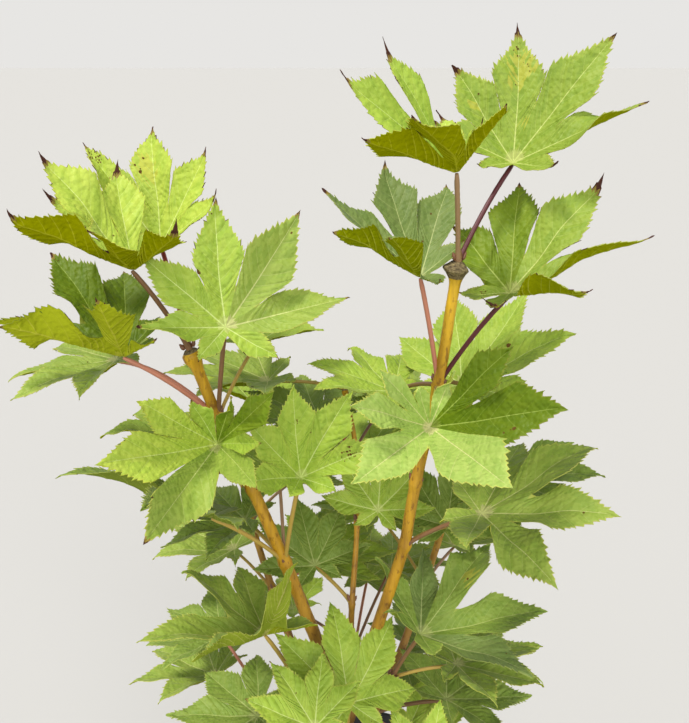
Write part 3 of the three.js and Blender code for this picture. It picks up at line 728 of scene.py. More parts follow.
def lower_parts(parts):
    """What the underside wears below these upper parts, with each lobe's painted light and shade."""
    # The underside's colours are partly the leaf's own and partly painted light shining through it.
    lower = np.full(len(PARTS), PART["under"])
    lower[[PART["vein"], PART["lateral"], PART["middle"]]] = PART["rib"]
    lower[[PART["scorch"], PART["singed"]]] = [PART["scorch"], PART["singed"]]
    tone, part = np.divmod(parts, len(PARTS))
    return lower[part] + tone * len(PARTS)


def build_blade(leaf, rng):
    """A leaf's closed blade: its points, its quads and triangles, and the part each of them is of."""
    lobes = lobes_of(leaf)
    form, number, (quads, under, rims, triangles, under_triangles) = blade_form(
        tuple(length > FULL_LOBE for _, length, _ in lobes), leaf.get("veins", SHOWN_VEINS))
    middle, side, up = blade_frame(leaf)
    span, scorch, cup = leaf["span"], leaf.get("scorch", 0), leaf["cup"]
    turns, bends, folds, tones = (leaf.get(key, {}) for key in ("turns", "bends", "folds", "tones"))
    look = dict(fold=rng.uniform(*FOLDS), quilt=rng.uniform(*QUILTS))
    count = len(lobes)
    depths = SINUS_REACH * rng.uniform(*NOTCHES, count)
    points, thickness = np.zeros((number, 3)), np.zeros(number)
    columns = form[0][0].shape[1]
    face_parts, speck_faces = [], []
    for index, ((angle, length, own_rise), (ids, rows)) in enumerate(zip(lobes, form)):
        slopes, notches, edge_rises = [], [], []
        for step in (-1, 1):
            other, other_length, other_rise = lobes[(index + step) % count]
            outer = not 0 <= index + step < count
            notch = depths[index if step == 1 else index - 1]
            notches.append(BASE_REACH if outer else notch * (length + other_length) / 2)
            slopes.append(math.radians(180 - abs(angle) if outer else abs(other - angle) / 2))
            edge_rises.append((own_rise + other_rise) / 2)
        dry = scorch * rng.uniform(0.3, 1)
        twist, bend = rng.uniform(*TWISTS), rng.uniform(*BENDS)
        if index in turns:
            twist, bend = turns[index], bends.get(index, 0)
        closing = folds.get(index, 0)
        cone = math.cos(math.radians(min(cup + own_rise, WIDEST_CONE)))
        widen = (rng.uniform(*WIDTHS) + 0.13 / length) / cone * math.cos(math.radians(closing * 0.75))
        lobe = (length, rng.uniform(*ARCHES), twist, bend, closing,
                rng.uniform(*CURLS) + DRY_CURL * dry, rng.uniform(-1, 1) * (0.8 + 2.2 * dry),
                rng.uniform(*MARGIN_WAVES), rng.uniform(0, 1), widen,
                iter(rng.uniform(*TOOTH_SIZES, (2, MOST_TEETH))))
        x, y, rise, thick, s = lobe_grid(lobe, rows, columns, slopes, notches, span, look)
        turn = math.radians(angle)
        ahead, left = x * math.cos(turn) - y * math.sin(turn), x * math.sin(turn) + y * math.cos(turn)
        off_rib = np.arctan2(np.abs(y), np.maximum(x, 1e-6)) / np.where(y < 0, *slopes)
        shared = np.clip(off_rib, 0, 1) * (1 - soft_step(0.24, 0.5, s))
        lift = np.radians(cup + own_rise + (np.where(y < 0, *edge_rises) - own_rise) * shared)
        height = np.sin(lift) * np.hypot(x, y) + rise
        placed = (ahead * np.cos(lift))[..., None] * middle + (left * np.cos(lift))[..., None] * side
        points[ids] = placed + height[..., None] * up
        thickness[ids] = thick
        spots = [spot[1:] for spot in leaf.get("spots", ()) if spot[0] == index]
        own_parts = parts_of_lobe(rows, x, y, s, dry, spots, rng)
        # A lobe that borrows another kind wears that kind's colours as painted light and shade.
        face_parts.append([group + LOBE_SHADINGS.index(tones.get(index)) * len(PARTS) for group in own_parts])
        speck_faces.append(speckled_faces(ids, x, y, spots, rng))
    points += leaf["centre"]
    normals = vertex_normals(points, quads)
    normals[0] = up
    for ids, _ in form:
        normals[ids[-1, 0]] = normals[ids[-2]].mean(axis=0)
    upper_parts, end_parts, rim_parts = (np.concatenate(group) for group in zip(*face_parts))
    specks, speck_triangles = build_specks(points, np.vstack(speck_faces), rng)
    speck_parts = np.full(len(speck_triangles), PART["speck"])
    return (np.vstack([points, points - normals * thickness[:, None], specks]),
            np.vstack([quads, under, rims]),
            np.vstack([triangles, under_triangles, speck_triangles + 2 * number]),
            np.concatenate([upper_parts, lower_parts(upper_parts), rim_parts]),
            np.concatenate([end_parts, lower_parts(end_parts), speck_parts]))


def spot_distance(spot, along, aside, size):
    """How far places on a lobe are from the middle of a spot, as shares of the spot's radius."""
    place, across, radius, _ = spot
    half = np.interp(place, LOBE_AT, LOBE_HALF) * size
    return np.hypot(along - place * size, aside - across * half) / radius


def speckled_faces(ids, x, y, spots, rng):
    """The corners of the faces of a lobe that bear a brown speck: in its spots, and a few at random."""
    along, aside = ((grid[1:-2, 1:-2] + grid[2:-1, 2:-1]) / 2 for grid in (x, y))
    chosen = rng.uniform(0, 1, along.shape) < STRAY_SPECKS
    for spot in spots:
        off = spot_distance(spot, along, aside, x[-1, 0])
        chosen |= (off < 1) & (rng.uniform(0, 1, off.shape) < SPOT_SPECKS[spot[-1]])
    chosen[:BASAL_ROWS] = False
    return grid_faces(ids[1:-1, 1:-1])[chosen]


def build_specks(points, faces, rng):
    """Small flat specks, each just above the middle of a face of the blade."""
    a, b, c, d = (points[faces[:, k]] for k in range(4))
    normal = unit(np.cross(c - a, d - b))
    ahead = (b + c - a - d) / 2
    room = np.minimum(np.linalg.norm(ahead, axis=1), np.linalg.norm(c + d - a - b, axis=1) / 2)
    ahead = unit(ahead)
    left = np.cross(normal, ahead)
    centre = (a + b + c + d) / 4 + normal * SPECK_STANDOFF
    angles = bearings(SPECK_SIDES)
    radius = (room * 0.5 * rng.uniform(0.5, 1.1, len(faces)))[:, None] * rng.uniform(
        0.7, 1.2, (len(faces), SPECK_SIDES))
    ring = (centre[:, None] + ahead[:, None] * (radius * np.cos(angles))[..., None]
            + left[:, None] * (radius * np.sin(angles))[..., None])
    made = np.concatenate([centre[:, None], ring], 1).reshape(-1, 3)
    first = np.arange(len(faces))[:, None] * (SPECK_SIDES + 1)
    step = np.arange(SPECK_SIDES)
    fan = np.broadcast_arrays(first, first + 1 + step, first + 1 + (step + 1) % SPECK_SIDES)
    return made, np.stack(fan, -1).reshape(-1, 3)


def parts_of_lobe(rows, x, y, s, dry, spots, rng):
    """Which part of the blade each face of a lobe is: its quads, its end triangles and its rim."""
    middle_s, along, aside = ((grid[1:, :-1] + grid[:-1, 1:]) / 2 for grid in (s, x, y))
    phases = rng.uniform(0, 6.3, 3)
    mottle = (np.sin(0.42 * along + 0.5 * aside + phases[0]) + np.sin(0.2 * along - 0.6 * aside + phases[1])
              + np.sin(0.7 * along + 1.1 * aside + phases[2]) + rng.uniform(-0.4, 0.4, middle_s.shape))
    part = np.select([middle_s < MIDDLE_PATCH, mottle > 1, mottle < -1],
                     [PART["middle"], PART["blade_c"], PART["blade_a"]], PART["blade_b"])
    strip = np.zeros(len(part), bool)
    strip[BASAL_ROWS + 1:] = (rows[:-1, 2] == -1) & (rows[1:, 2] == 1)
    part[strip, 1:-1] = PART["lateral"]
    part[BASAL_ROWS:, [0, -1]] = PART["margin"]
    centre = part.shape[1] // 2
    part[middle_s[:, centre] < RIB_END, centre] = PART["vein"]
    for spot in spots:
        off = spot_distance(spot, along, aside, x[-1, 0])
        ragged = off + rng.uniform(-0.5, 0.5, off.shape)
        part[(ragged < 0.8) & (part < PART["vein"]) & (spot[-1] == "yellowed")] = PART["yellowed"]
    if dry > LEAST_DRY:
        start = 1 - DRY_TIP * dry
        part[middle_s > start] = PART["scorch"]
        part[(middle_s > start - SINGED_WIDTH) & (middle_s <= start)] = PART["singed"]
        burnt = rng.uniform(0, 1, len(part)) < 0.13 * dry
        burnt[:BASAL_ROWS] = False
        part[np.ix_(burnt, [0, -1])] = PART["scorch"]
    ends, rim = part[[0, -1]], part[BASAL_ROWS:, [0, -1]].T
    return part[1:-1].ravel(), ends.ravel(), rim.ravel()


class Gathered:
    """Points and faces of several shapes that become one piece with several materials."""

    def __init__(self):
        self.points, self.faces, self.worn = [], ([], []), ([], [])
        self.materials, self.size = [], 0

    def slot(self, material):
        if material not in self.materials:
            self.materials.append(material)
        return self.materials.index(material)

    def add(self, points, quads, triangles, quads_worn, triangles_worn):
        """Adds a shape whose faces wear the materials with these slot numbers."""
        for kind, (faces, worn) in enumerate(((quads, quads_worn), (triangles, triangles_worn))):
            self.faces[kind].append(faces + self.size)
            self.worn[kind].append(np.broadcast_to(worn, len(faces)))
        self.points.append(points)
        self.size += len(points)

    def add_plain(self, shape, material):
        """Adds a shape in one material."""
        self.add(*shape, self.slot(material), self.slot(material))

    def piece(self, name, **options):
        worn = np.concatenate(self.worn[0] + self.worn[1])
        faces = [np.vstack(group) for group in self.faces]
        return make_piece(name, np.vstack(self.points), faces, self.materials, worn, **options)


# Tubes for limbs and stalks

def even_line(points, spacing):
    """A line's points again, evenly spaced along it."""
    steps = np.linalg.norm(np.diff(points, axis=0), axis=1)
    along = np.concatenate([[0], np.cumsum(steps)])
    at = np.linspace(0, along[-1], max(2, int(along[-1] / spacing) + 1))
    return np.stack([np.interp(at, along, points[:, k]) for k in range(3)], 1), at


def ring_faces(rings, sides):
    """Quads between rings of points, and triangles to two more points that close both ends."""
    ids = np.arange(rings * sides).reshape(rings, sides)
    after = np.roll(ids, -1, axis=1)
    quads = np.stack([ids[:-1], after[:-1], after[1:], ids[1:]], -1).reshape(-1, 4)
    foot = np.full(sides, ids.size)
    return quads, np.vstack([np.stack([foot, after[0], ids[0]], -1),
                             np.stack([foot + 1, ids[-1], after[-1]], -1)])


def tube(points, radii, sides):
    """A closed tube round a line: its points, quads and end triangles. radii may vary round it."""
    tangents = np.gradient(points, axis=0)
    tangents /= np.linalg.norm(tangents, axis=1, keepdims=True)
    normal = np.cross(tangents[0], (0.0, 1.0, 0.2))
    normals = []
    for tangent in tangents:
        normal = normal - tangent * (normal @ tangent)
        normal = normal / np.linalg.norm(normal)
        normals.append(normal)
    normals = np.array(normals)
    angles = bearings(sides)
    radii = np.broadcast_to(np.asarray(radii, float).reshape(len(points), -1), (len(points), sides))
    rings = (points[:, None] + normals[:, None] * (np.cos(angles) * radii)[..., None]
             + np.cross(tangents, normals)[:, None] * (np.sin(angles) * radii)[..., None])
    ends = [points[0], points[-1] + tangents[-1] * radii[-1].mean() * 0.35]
    return np.vstack([rings.reshape(-1, 3), ends]), *ring_faces(len(points), sides)


TRUNK_RELIEF = 0.045
LIMB_RELIEF = 0.035
RIDGES = 2.2
WRINKLES = 0.35
SMOOTHINGS = 14
GROOVES = ((0.16, 0.9, 0.35), (0.12, -0.7, 0.3))


def bark_relief(rings, sides, rng, depth):
    """Long shallow ridges and fine wrinkles round a limb, as a factor on its radius."""
    rough = rng.normal(0, 1, (rings, sides))
    ridges = rough.copy()
    for _ in range(SMOOTHINGS):
        before, behind = np.vstack([ridges[:1], ridges[:-1]]), np.vstack([ridges[1:], ridges[-1:]])
        ridges = (before + behind + ridges) / 3
    ridges = (ridges + np.roll(ridges, 1, 1) + np.roll(ridges, -1, 1)) / 3
    fine = (rough + np.roll(rough, 1, 1)) / 2
    return 1 + depth * (RIDGES * ridges + WRINKLES * fine)


def swellings(at, places, height, width):
    """A sum of rings: swollen nodes, each with a fine groove on both sides, along a limb."""
    total = np.zeros(len(at))
    for place in places:
        off = at - place
        total += height * np.exp(-(off / width) ** 2)
        for depth, ahead, narrow in GROOVES:
            total -= depth * np.exp(-((off - ahead) / narrow) ** 2)
    return total


# Bark, stalks and buds

LIMB_SIDES = 28
LIMB_SPACING = 0.8
STALK_SIDES = 12
STALK_SPACING = 1.2
STALK_RADIUS = 0.86
STALK_DROP = 0.75
NODE_SWELL = 0.55
NODE_WIDTH = 2.0
BUD_SIDES = 10
BUD_LENGTHS = (2.6, 3.8)
BUD_RADII = (0.7, 0.95)
END_BUD = (4.2, 1.2)
GOLDEN_HEIGHT = 460


def add_trunk(gathered, material, rng):
    foot = SOIL_LEVEL + GAP
    height = FORK_HEIGHT - foot
    line = ((TRUNK_LEAN, 0, foot), (TRUNK_LEAN, 0, foot + height / 5),
            (TRUNK_LEAN / 3, 0, foot + 3 * height / 5), (0, 0, FORK_HEIGHT))
    points, at = even_line(smooth_line(line, 60), LIMB_SPACING)
    radius = TRUNK_RADIUS + (TRUNK_TOP_RADIUS - TRUNK_RADIUS) * (at / at[-1])
    flare = FLARE_RADIUS * np.exp(-at / FLARE_HEIGHT)
    buttress = 1 + BUTTRESS * np.sin(5 * bearings(LIMB_SIDES) + 0.7) * (flare / FLARE_RADIUS)[:, None]
    swell = swellings(at, TRUNK_SCARS, 0.35, 2.2)
    radii = radius[:, None] + flare[:, None] * buttress + swell[:, None]
    radii = radii * bark_relief(len(points), LIMB_SIDES, rng, TRUNK_RELIEF)
    gathered.add_plain(tube(points, radii, LIMB_SIDES), material)


# The knob at a stem's tip: its swelling as a share of the radius, its roughness, the length over
# which the stem swells to it, and whether grey crust covers it
KNOBS = {"crown_left": (0.62, 0.10, 4.6, False), "crown_right": (1.0, 0.42, 3.4, True)}
USUAL_KNOB = (0.35, 0.10, 2.4, False)
CRUSTED_LENGTH = 6.2
SCAR_LENGTH = 1.3
LUMPS = 16
KNOB_SETBACK = 2.0
KNOB_END = 2.2


def lumps(at, middle, rng):
    """Rounded lumps at random places round a knob, as a share of its radius."""
    total = np.zeros((len(at), LIMB_SIDES))
    for _ in range(LUMPS):
        off = np.angle(np.exp(1j * (bearings(LIMB_SIDES) - rng.uniform(0, 2 * np.pi))))
        along = at[:, None] - middle - rng.uniform(-3, 2)
        total += rng.uniform(-0.8, 1.2) * np.exp(-(off / 0.5) ** 2 - (along / 1.2) ** 2)
    return total


def add_stem(gathered, materials, name, stretches, rng):
    """One limb through its stretches, each (line, foot radius, tip radius), swollen at each node."""
    bark, crust = materials
    points = np.vstack([smooth_line(line, 40)[(1 if index else 0):]
                        for index, (line, _, _) in enumerate(stretches)])
    points, at = even_line(points, LIMB_SPACING)

    def distance_to(place):
        return at[np.linalg.norm(points - np.array(place), axis=1).argmin()]

    end = at[-1]
    last_line, _, tip = stretches[-1]
    nodes = [distance_to(node) for node in last_line[(1 if len(stretches) == 1 else 0):]]
    marks = [distance_to(line[0]) for line, _, _ in stretches] + [end]
    radius = np.interp(at, marks, [foot for _, foot, _ in stretches] + [tip])
    radius += swellings(at, nodes, NODE_SWELL * (0.5 + tip / 4), NODE_WIDTH)
    swell, rough, length, crusted = KNOBS.get(name, USUAL_KNOB)
    behind = end - KNOB_SETBACK - at
    knob = np.exp(-(behind / np.where(behind > 0, length, KNOB_END)) ** 2)
    radius += swell * tip * knob
    radius *= 1 - 0.3 * soft_step(end - 1.6, end, at)
    radius = radius[:, None] * (1 + rough * knob[:, None] * lumps(at, end - KNOB_SETBACK, rng))
    radius = radius * bark_relief(len(points), LIMB_SIDES, rng, LIMB_RELIEF)
    shape, quads, caps = tube(points, radius, LIMB_SIDES)
    crusty = at[np.arange(len(quads)) // LIMB_SIDES] > end - (CRUSTED_LENGTH if crusted else SCAR_LENGTH)
    worn = np.where(crusty, gathered.slot(crust), gathered.slot(bark))
    gathered.add(shape, quads, caps, worn, gathered.slot(crust))


def add_stalk(gathered, material, leaf, radius, rng):
    """A leaf's stalk, arched a little, thicker at its foot and where it meets the blade."""
    foot, tip = leaf["at"], leaf["centre"] - blade_frame(leaf)[2] * STALK_DROP
    middle = (foot + tip) / 2
    middle[2] += leaf.get("arch", STALK_ARCH) * np.linalg.norm(tip - foot)
    share = np.linspace(0, 1, 40)[:, None]
    curve = foot * (1 - share) ** 2 + middle * 2 * share * (1 - share) + tip * share ** 2
    points, at = even_line(curve, STALK_SPACING)
    radii = radius * (1 + 0.5 * np.exp(-(at / 3.2) ** 2) - 0.3 * np.exp(-((at[-1] - at) / 1.5) ** 2))
    radii = radii[:, None] * (1 + 0.02 * rng.normal(0, 1, (len(points), STALK_SIDES)))
    gathered.add_plain(tube(points, radii, STALK_SIDES), material)


def add_bud(gathered, material, foot, direction, length, radius):
    """A pointed bud with a waist of scales, on a stem."""
    share = np.linspace(0, 1, 12)
    points = foot + share[:, None] * direction / np.linalg.norm(direction) * length
    profile = np.sin(np.pi * (0.12 + 0.88 * share) ** 0.8) ** 0.8 + 0.06 * np.cos(share * 22)
    gathered.add_plain(tube(points, np.maximum(radius * profile, 0.04), BUD_SIDES), material)


def bark_material():
    """Smooth young bark: golden high up, orange-brown low down, with streaks and fine wrinkles."""
    made = new_material("bark", (0.5, 0.3, 0.08), 0.5)
    share = add_node(made, "ShaderNodeMapRange", {
        "Value": height_of(made, coordinates(made)),
        "From Min": SOIL_LEVEL * MM, "From Max": GOLDEN_HEIGHT * MM,
    })
    base = ramp(made, share.outputs["Result"], (
        (0.0, (0.19, 0.13, 0.070)), (0.25, (0.29, 0.165, 0.055)), (0.42, (0.43, 0.22, 0.024)),
        (0.62, (0.62, 0.34, 0.012)), (0.86, (0.72, 0.42, 0.011)), (1.0, (0.70, 0.44, 0.016)),
    ))
    streaks = pattern(made, 260, 5, 0.65, (1, 1, 0.12))
    blotches = pattern(made, 90, 3, 0.5, (1, 1, 0.5))
    dark = ramp(made, streaks, ((0.34, (0.50, 0.42, 0.40)), (0.60, (1.0, 1.0, 1.0))))
    pale = ramp(made, blotches, ((0.35, (0.86, 0.86, 0.84)), (0.75, (1.12, 1.1, 1.0))))
    flecks = ramp(made, pattern(made, 480, 4, 0.6, (1, 1, 0.5)),
                  ((0.55, (1.0, 1.0, 1.0)), (0.65, (0.42, 0.32, 0.30))))
    colour = multiply(made, 1.0, multiply(made, 0.8, base, dark), pale)
    colour = multiply(made, 0.8, colour, flecks)
    rough = add_node(made, "ShaderNodeMapRange", {"Value": streaks, "To Min": 0.42, "To Max": 0.62})
    return wear(made, pattern(made, 700, 4, 0.6, (1, 1, 0.35)), 0.0003, 0.5, colour,
                rough.outputs["Result"])


def crust_material():
    """The grey-brown crust of old leaf scars, with ochre showing through."""
    made = new_material("bark_crust", (0.24, 0.18, 0.09), 0.85, Specular_IOR_Level=0.2)
    colour = ramp(made, pattern(made, 700, 5, 0.7), (
        (0.32, (0.060, 0.042, 0.026)), (0.48, (0.20, 0.15, 0.075)), (0.62, (0.34, 0.27, 0.13)),
        (0.75, (0.50, 0.36, 0.12)),
    ))
    return wear(made, pattern(made, 1100, 6, 0.75), 0.0008, 1.0, colour)


def grained(name, colour, roughness, scale=600, depth=0.0002):
    """A plain base colour with a fine grain in its bump."""
    made = new_material(name, colour, roughness)
    return wear(made, pattern(made, scale, 3), depth, 0.5)


GROWN_KINDS = ("deep", "fresh", "grey", "pale", "muted")
GROWN_KIND_SHARES = (0.3, 0.32, 0.25, 0.1, 0.03)
GROWN_STALKS = ("ochre", "brown", "pink", "tan")
GROWN_STALK_SHARE = 0.85


def add_buds(gathered, material, line, tip, rng):
    """A pair of buds at each node of a stem, and one at its end."""
    points = np.array(line, float)
    for place, node in enumerate(points):
        ahead = unit(points[min(place + 1, len(points) - 1)] - points[max(place - 1, 0)])
        across = unit(np.cross(ahead, (0, 1, 0.3)))
        turn = rng.uniform(0, np.pi)
        out = across * math.cos(turn) + np.cross(ahead, across) * math.sin(turn)
        for sign in (-1, 1):
            add_bud(gathered, material, node + out * sign * tip * 0.8 + ahead * 0.8,
                    ahead + out * sign * 0.45, rng.uniform(*BUD_LENGTHS), rng.uniform(*BUD_RADII))
    add_bud(gathered, material, points[-1] + ahead * 0.6, ahead, *END_BUD)


def build_plant():
    bark, crust = bark_material(), crust_material()
    limbs, stalks, buds = Gathered(), Gathered(), Gathered()
    stalk_materials = {name: grained("stalk_" + name, colour, 0.45)
                       for name, colour in STALK_COLOURS.items()}
    bud_brown = grained("bud_scales", (0.20, 0.085, 0.040), 0.5)
    add_trunk(limbs, bark, np.random.default_rng(5))
    boughs = {name: (line, foot, tip) for name, foot, tip, line in BOUGHS}
    for (name, seed, foot, tip, line, *_), leaves in zip(MASSES, place_leaves()):
        rng = np.random.default_rng(seed)
        bough = boughs.get(name.replace("crown", "bough")) or boughs.get("bough_" + name)
        stretches = [bough, (line, foot, tip)] if bough else [(line, foot, tip)]
        add_stem(limbs, (bark, crust), name, stretches, rng)
        blades = Gathered()
        for leaf in leaves:
            stalk_radius = STALK_RADIUS
            if "kind" not in leaf:
                leaf["kind"] = rng.choice(GROWN_KINDS, p=GROWN_KIND_SHARES)
                leaf["stalk"] = rng.choice(GROWN_STALKS)
                leaf["veins"] = GROWN_VEINS
                stalk_radius *= GROWN_STALK_SHARE
            *shape, quad_parts, triangle_parts = build_blade(leaf, rng)
            worn = np.zeros(len(PARTS) * len(LOBE_SHADINGS), int)
            for number in np.unique(np.concatenate([quad_parts, triangle_parts])):
                tone, part = divmod(number, len(PARTS))
                worn[number] = blades.slot(leaf_material(LOBE_SHADINGS[tone] or leaf["kind"], PARTS[part]))
            blades.add(*shape, worn[quad_parts], worn[triangle_parts])
            add_stalk(stalks, stalk_materials[leaf["stalk"]], leaf, stalk_radius, rng)
        piece = blades.piece("leaves_" + name)
        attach(piece, "root")
        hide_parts(name)
        add_buds(buds, bud_brown, line, tip, rng)
    bark_piece = limbs.piece("bark_limbs")
    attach(bark_piece, "root")
    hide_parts("trunk", *boughs)
    for gathered, name in ((stalks, "leaf_stalks"), (buds, "stem_buds")):
        piece = gathered.piece(name)
        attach(piece, "root")


# Pot

def pot_radius_at(height):
    return POT_FOOT_RADIUS + (POT_RIM_RADIUS - RIM_BAND_STEP - POT_FOOT_RADIUS) * height / POT_HEIGHT


def ring_piece(name, rings, ends, material, **options):
    """A closed piece from rings of points, from its foot to its top, and its two end points."""
    rings = np.asarray(rings)
    points = np.vstack([rings.reshape(-1, 3), ends])
    return make_piece(name, points, ring_faces(*rings.shape[:2]), [material], **options)


def round_ring(radius, height, segments):
    """A level ring of points round the Z axis."""
    angles = bearings(segments)
    return np.stack([radius * np.cos(angles), radius * np.sin(angles), np.full(segments, height)], -1)


def rounded(centre, radius, start, stop, steps=6):
    """Points of an arc in a profile, by its angles in degrees."""
    return [(centre[0] + radius * math.cos(math.radians(angle)),
             centre[1] + radius * math.sin(math.radians(angle)))
            for angle in np.linspace(start, stop, steps)]


def pot_material():
    made = new_material("pot_plastic", (0.018, 0.018, 0.019), 0.4)
    dust = pattern(made, 55, 6, 0.7)
    colour = ramp(made, dust, ((0.42, (0.012, 0.012, 0.013)), (0.66, (0.045, 0.042, 0.038))))
    rough = add_node(made, "ShaderNodeMapRange", {"Value": dust, "To Min": 0.32, "To Max": 0.62})
    scuffs = pattern(made, 420, 4, 0.7, (1, 1, 0.2))
    return wear(made, scuffs, 0.00015, 0.35, colour, rough.outputs["Result"])


def drain_cutter():
    """Boxes, one for each drain slot, that are cut from the pot's foot."""
    cutters = bmesh.new()
    for slot in range(DRAIN_SLOTS):
        corners = bmesh.ops.create_cube(cutters, size=1)["verts"]
        size = (6 * POT_WALL * MM, DRAIN_WIDTH * MM, DRAIN_HEIGHT * MM)
        bmesh.ops.scale(cutters, verts=corners, vec=size)
        place = (pot_radius_at(0) * MM, 0, (POT_FLOOR + 1 + DRAIN_HEIGHT / 2) * MM)
        bmesh.ops.translate(cutters, verts=corners, vec=place)
        turn = Matrix.Rotation(math.tau * (slot + 0.5) / DRAIN_SLOTS, 3, "Z")
        bmesh.ops.rotate(cutters, verts=corners, cent=(0, 0, 0), matrix=turn)
    mesh = bpy.data.meshes.new("drain_cutters")
    cutters.to_mesh(mesh)
    cutters.free()
    return add_object("drain_cutters", mesh)


def build_pot():
    band_foot = POT_HEIGHT - RIM_BAND_HEIGHT
    foot_edge = POT_FOOT_RADIUS - FOOT_ROUNDING
    profile = [(foot_edge, 0), *rounded((foot_edge, FOOT_ROUNDING), FOOT_ROUNDING, -80, -5)]
    for below in BEADS_BELOW_BAND:
        height = band_foot - below
        wall = pot_radius_at(height)
        profile += [(wall - 0.02, height - 0.9), *rounded((wall, height), BEAD_RADIUS, -70, 70, 5)]
    wall = pot_radius_at(band_foot)
    profile += [(wall, band_foot), *rounded((wall + RIM_BAND_STEP - 0.8, band_foot + 0.8), 0.8, -90, 0)]
    profile += rounded((POT_RIM_RADIUS - LIP_RADIUS, POT_HEIGHT - LIP_RADIUS), LIP_RADIUS, 0, 170, 9)
    profile += [(pot_radius_at(height) - POT_WALL, height) for height in (POT_HEIGHT - 4, 90, POT_FLOOR)]
    rings = [round_ring(radius, height, POT_SEGMENTS) for radius, height in profile]
    pot = ring_piece("nursery_pot", rings, [(0, 0, 0), (0, 0, POT_FLOOR)], pot_material(),
                     crease=POT_CREASE)
    cutter = drain_cutter()
    cut = pot.modifiers.new("drains", "BOOLEAN")
    cut.operation, cut.object, cut.solver = "DIFFERENCE", cutter, "EXACT"
    shaped = pot.evaluated_get(bpy.context.evaluated_depsgraph_get())
    pot.data = bpy.data.meshes.new_from_object(shaped)
    pot.modifiers.clear()
    bpy.data.objects.remove(cutter)
    pot.data.set_sharp_from_angle(angle=math.radians(POT_CREASE))
    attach(pot, "root")
    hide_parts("pot")


# Soil: a coarse bark mix with a few white grains

CHIPS = 1500
GRAINS = 130
SOIL_RINGS = 60
SOIL_SEGMENTS = 180
SOIL_DROP = 1.2
SOIL_WAVES = (14, 3.5)
WAVE_HEIGHT = 1.1
HIGHEST_SOIL = SOIL_LEVEL + 2.2
BARE_RADIUS = 9
CHIP_TINTS = (("dark", (0.045, 0.026, 0.016), 0.9), ("red", (0.11, 0.050, 0.024), 0.85),
              ("tan", (0.20, 0.125, 0.065), 0.85))
CHIP_SHARES = (0.5, 0.3, 0.2)
CHIP_SIZES = ((1.2, 0.7, 0.35), (4.6, 2.2, 0.9))
GRAIN_SIZES = (0.9, 1.7)
BIT_SIDES = 6
BIT_ROUGHNESS = (0.7, 1.15)
BIT_HEIGHTS = (0.7, 1.2)
BIT_TILT = 0.22


def waves(x, y, rng, count, finest):
    """A sum of soft waves over a plane, from about -1 to 1."""
    total = np.zeros_like(x)
    for _ in range(count):
        size = rng.uniform(finest, finest * 8)
        turn, phase = rng.uniform(0, 6.28, 2)
        total += np.sin((x * math.cos(turn) + y * math.sin(turn)) * 6.28 / size + phase) * size
    return total / (finest * 4.5 * math.sqrt(count / 2))


def soil_material():
    made = new_material("soil_mix", (0.05, 0.032, 0.02), 0.95)
    grit = pattern(made, 420, 8, 0.75)
    colour = ramp(made, grit, (
        (0.3, (0.016, 0.010, 0.007)), (0.5, (0.050, 0.030, 0.018)), (0.72, (0.13, 0.080, 0.045)),
    ))
    return wear(made, grit, 0.0012, 0.9, colour)


def soil_rings(edge, rng):
    """The soil's rings from the pot's floor up its wall and over its uneven top to its middle."""
    shares = np.linspace(0.03, 1, SOIL_RINGS)[:, None]
    angles = bearings(SOIL_SEGMENTS)
    x, y = (shares * np.cos(angles)) * edge, (shares * np.sin(angles)) * edge
    z = SOIL_LEVEL - SOIL_DROP + WAVE_HEIGHT * waves(x, y, rng, *SOIL_WAVES) * soft_step(1.0, 0.9, shares)
    tops = np.stack([x, y, np.minimum(z, HIGHEST_SOIL)], -1)
    foot_edge = pot_radius_at(POT_FLOOR) - POT_WALL - 2 * GAP
    walls = [round_ring(edge + (foot_edge - edge) * share,
                        SOIL_LEVEL - SOIL_DROP + (POT_FLOOR + GAP - SOIL_LEVEL + SOIL_DROP) * share,
                        SOIL_SEGMENTS) for share in (1.0, 0.7, 0.3)]
    return np.concatenate([walls, tops[::-1]])


def build_soil():
    rng = np.random.default_rng(31)
    edge = pot_radius_at(SOIL_LEVEL) - POT_WALL - GAP
    rings = soil_rings(edge, rng)
    ends = [(0, 0, POT_FLOOR + GAP), (0, 0, SOIL_LEVEL - 1)]
    soil = ring_piece("soil_bed", rings, ends, soil_material())
    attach(soil, "root")
    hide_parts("soil")
    bits = Gathered()
    tints = [grained("chip_" + name, colour, rough, 500, 0.0005) for name, colour, rough in CHIP_TINTS]
    pale = grained("white_grain", (0.68, 0.66, 0.60), 0.9, 900, 0.0003)
    tops = rings[:2:-1].reshape(-1, 3)
    for number in range(CHIPS + GRAINS):
        grain = number >= CHIPS
        turn, share = rng.uniform(0, 2 * np.pi), math.sqrt(rng.uniform(0.03, 0.93))
        centre = np.array([math.cos(turn), math.sin(turn), 0]) * share * edge
        near = np.hypot(tops[:, 0] - centre[0], tops[:, 1] - centre[1]).argmin()
        size = rng.uniform(*GRAIN_SIZES, 3) if grain else rng.uniform(*CHIP_SIZES)
        centre[2] = tops[near, 2] + size[2] * 0.3
        if np.hypot(centre[0] - TRUNK_LEAN, centre[1]) < BARE_RADIUS + size[0]:
            continue
        add_bit(bits, pale if grain else tints[rng.choice(3, p=CHIP_SHARES)], centre, size, rng)
    piece = bits.piece("soil_bits", crease=30)
    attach(piece, "root")


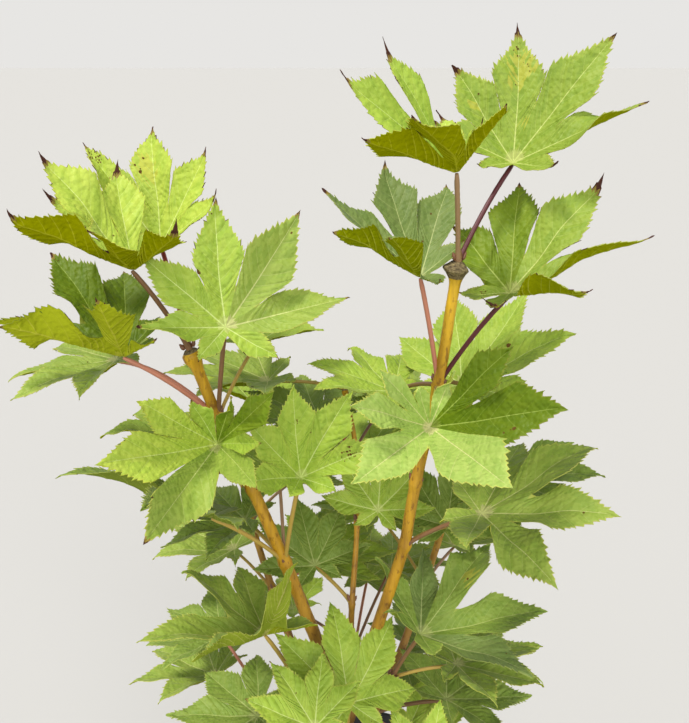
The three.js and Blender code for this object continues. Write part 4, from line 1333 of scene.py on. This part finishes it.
def add_bit(gathered, material, centre, size, rng):
    """A rough lump: a closed stack of two uneven rings and two ends, tilted a little."""
    angles = bearings(BIT_SIDES) + rng.uniform(0, 1)
    rough = rng.uniform(*BIT_ROUGHNESS, (2, BIT_SIDES))
    rings = np.stack([np.cos(angles) * rough, np.sin(angles) * rough,
                      np.array([[-0.5], [0.5]]) * rng.uniform(*BIT_HEIGHTS, (2, BIT_SIDES))], -1)
    shape = np.vstack([rings.reshape(-1, 3), [(0, 0, -0.8), (0, 0, 0.8)]]) * size
    yaw, tilt = rng.uniform(0, 6.28), rng.normal(0, BIT_TILT)
    spin = np.array([[math.cos(yaw), -math.sin(yaw), 0], [math.sin(yaw), math.cos(yaw), 0], [0, 0, 1]])
    lean = np.array([[1, 0, 0], [0, math.cos(tilt), -math.sin(tilt)], [0, math.sin(tilt), math.cos(tilt)]])
    gathered.add_plain((shape @ lean.T @ spin.T + centre, *ring_faces(2, BIT_SIDES)), material)


# Floor, light and camera

FLOOR_REACH = 60000
FLOOR_COLOUR = (0.54, 0.53, 0.51)
HORIZON_COLOUR = (0.80, 0.79, 0.77)
ZENITH_COLOUR = (0.42, 0.44, 0.48)


def build_stage():
    """A plain pale floor under an even sky that is as bright at its horizon as the floor."""
    corners = [(x * FLOOR_REACH, y * FLOOR_REACH, 0) for x, y in ((-1, -1), (1, -1), (1, 1), (-1, 1))]
    paint = new_material("floor_paint", FLOOR_COLOUR, 1.0, Specular_IOR_Level=0.0)
    floor = make_piece("floor", corners, [[(0, 1, 2, 3)]], [paint])
    world = bpy.data.worlds.new("studio")
    world.use_nodes = True
    height = height_of(world, coordinates(world, "Generated"))
    sky = ramp(world, height, ((0.06, HORIZON_COLOUR), (0.4, ZENITH_COLOUR)))
    world.node_tree.links.new(sky, world.node_tree.nodes["Background"].inputs["Color"])
    bpy.context.scene.world = world


def add_sun(name, place, strength, softness, colour=(1, 1, 1)):
    """A soft light from far away in the direction of a place."""
    lamp = bpy.data.lights.new(name, "SUN")
    lamp.energy = strength
    lamp.angle = math.radians(softness)
    lamp.color = colour
    add_object(name, lamp).rotation_euler = (-Vector(place)).to_track_quat("-Z", "Y").to_euler()


CAMERA_PLACE = (0, -0.25, 0.52)
CAMERA_PITCH = 22
FOCAL_PIXELS = 745
IMAGE_HEIGHT = 723
SENSOR = 36


def build_camera():
    data = bpy.data.cameras.new("camera")
    data.sensor_fit = "VERTICAL"
    data.sensor_height = SENSOR
    data.lens = SENSOR * FOCAL_PIXELS / IMAGE_HEIGHT
    data.clip_start = 0.01
    camera = add_object("camera", data)
    camera.location = CAMERA_PLACE
    camera.rotation_euler = (math.radians(90 - CAMERA_PITCH), 0, 0)
    bpy.context.scene.camera = camera


build_camera()
build_stage()
add_sun("key", (-0.45, -0.1, 1.0), 2.6, 12, (1.0, 0.97, 0.90))
add_sun("front", (0.2, -1.3, 0.7), 1.8, 50)
build_plant()
build_pot()
build_soil()
bpy.context.scene.view_settings.view_transform = "Standard"
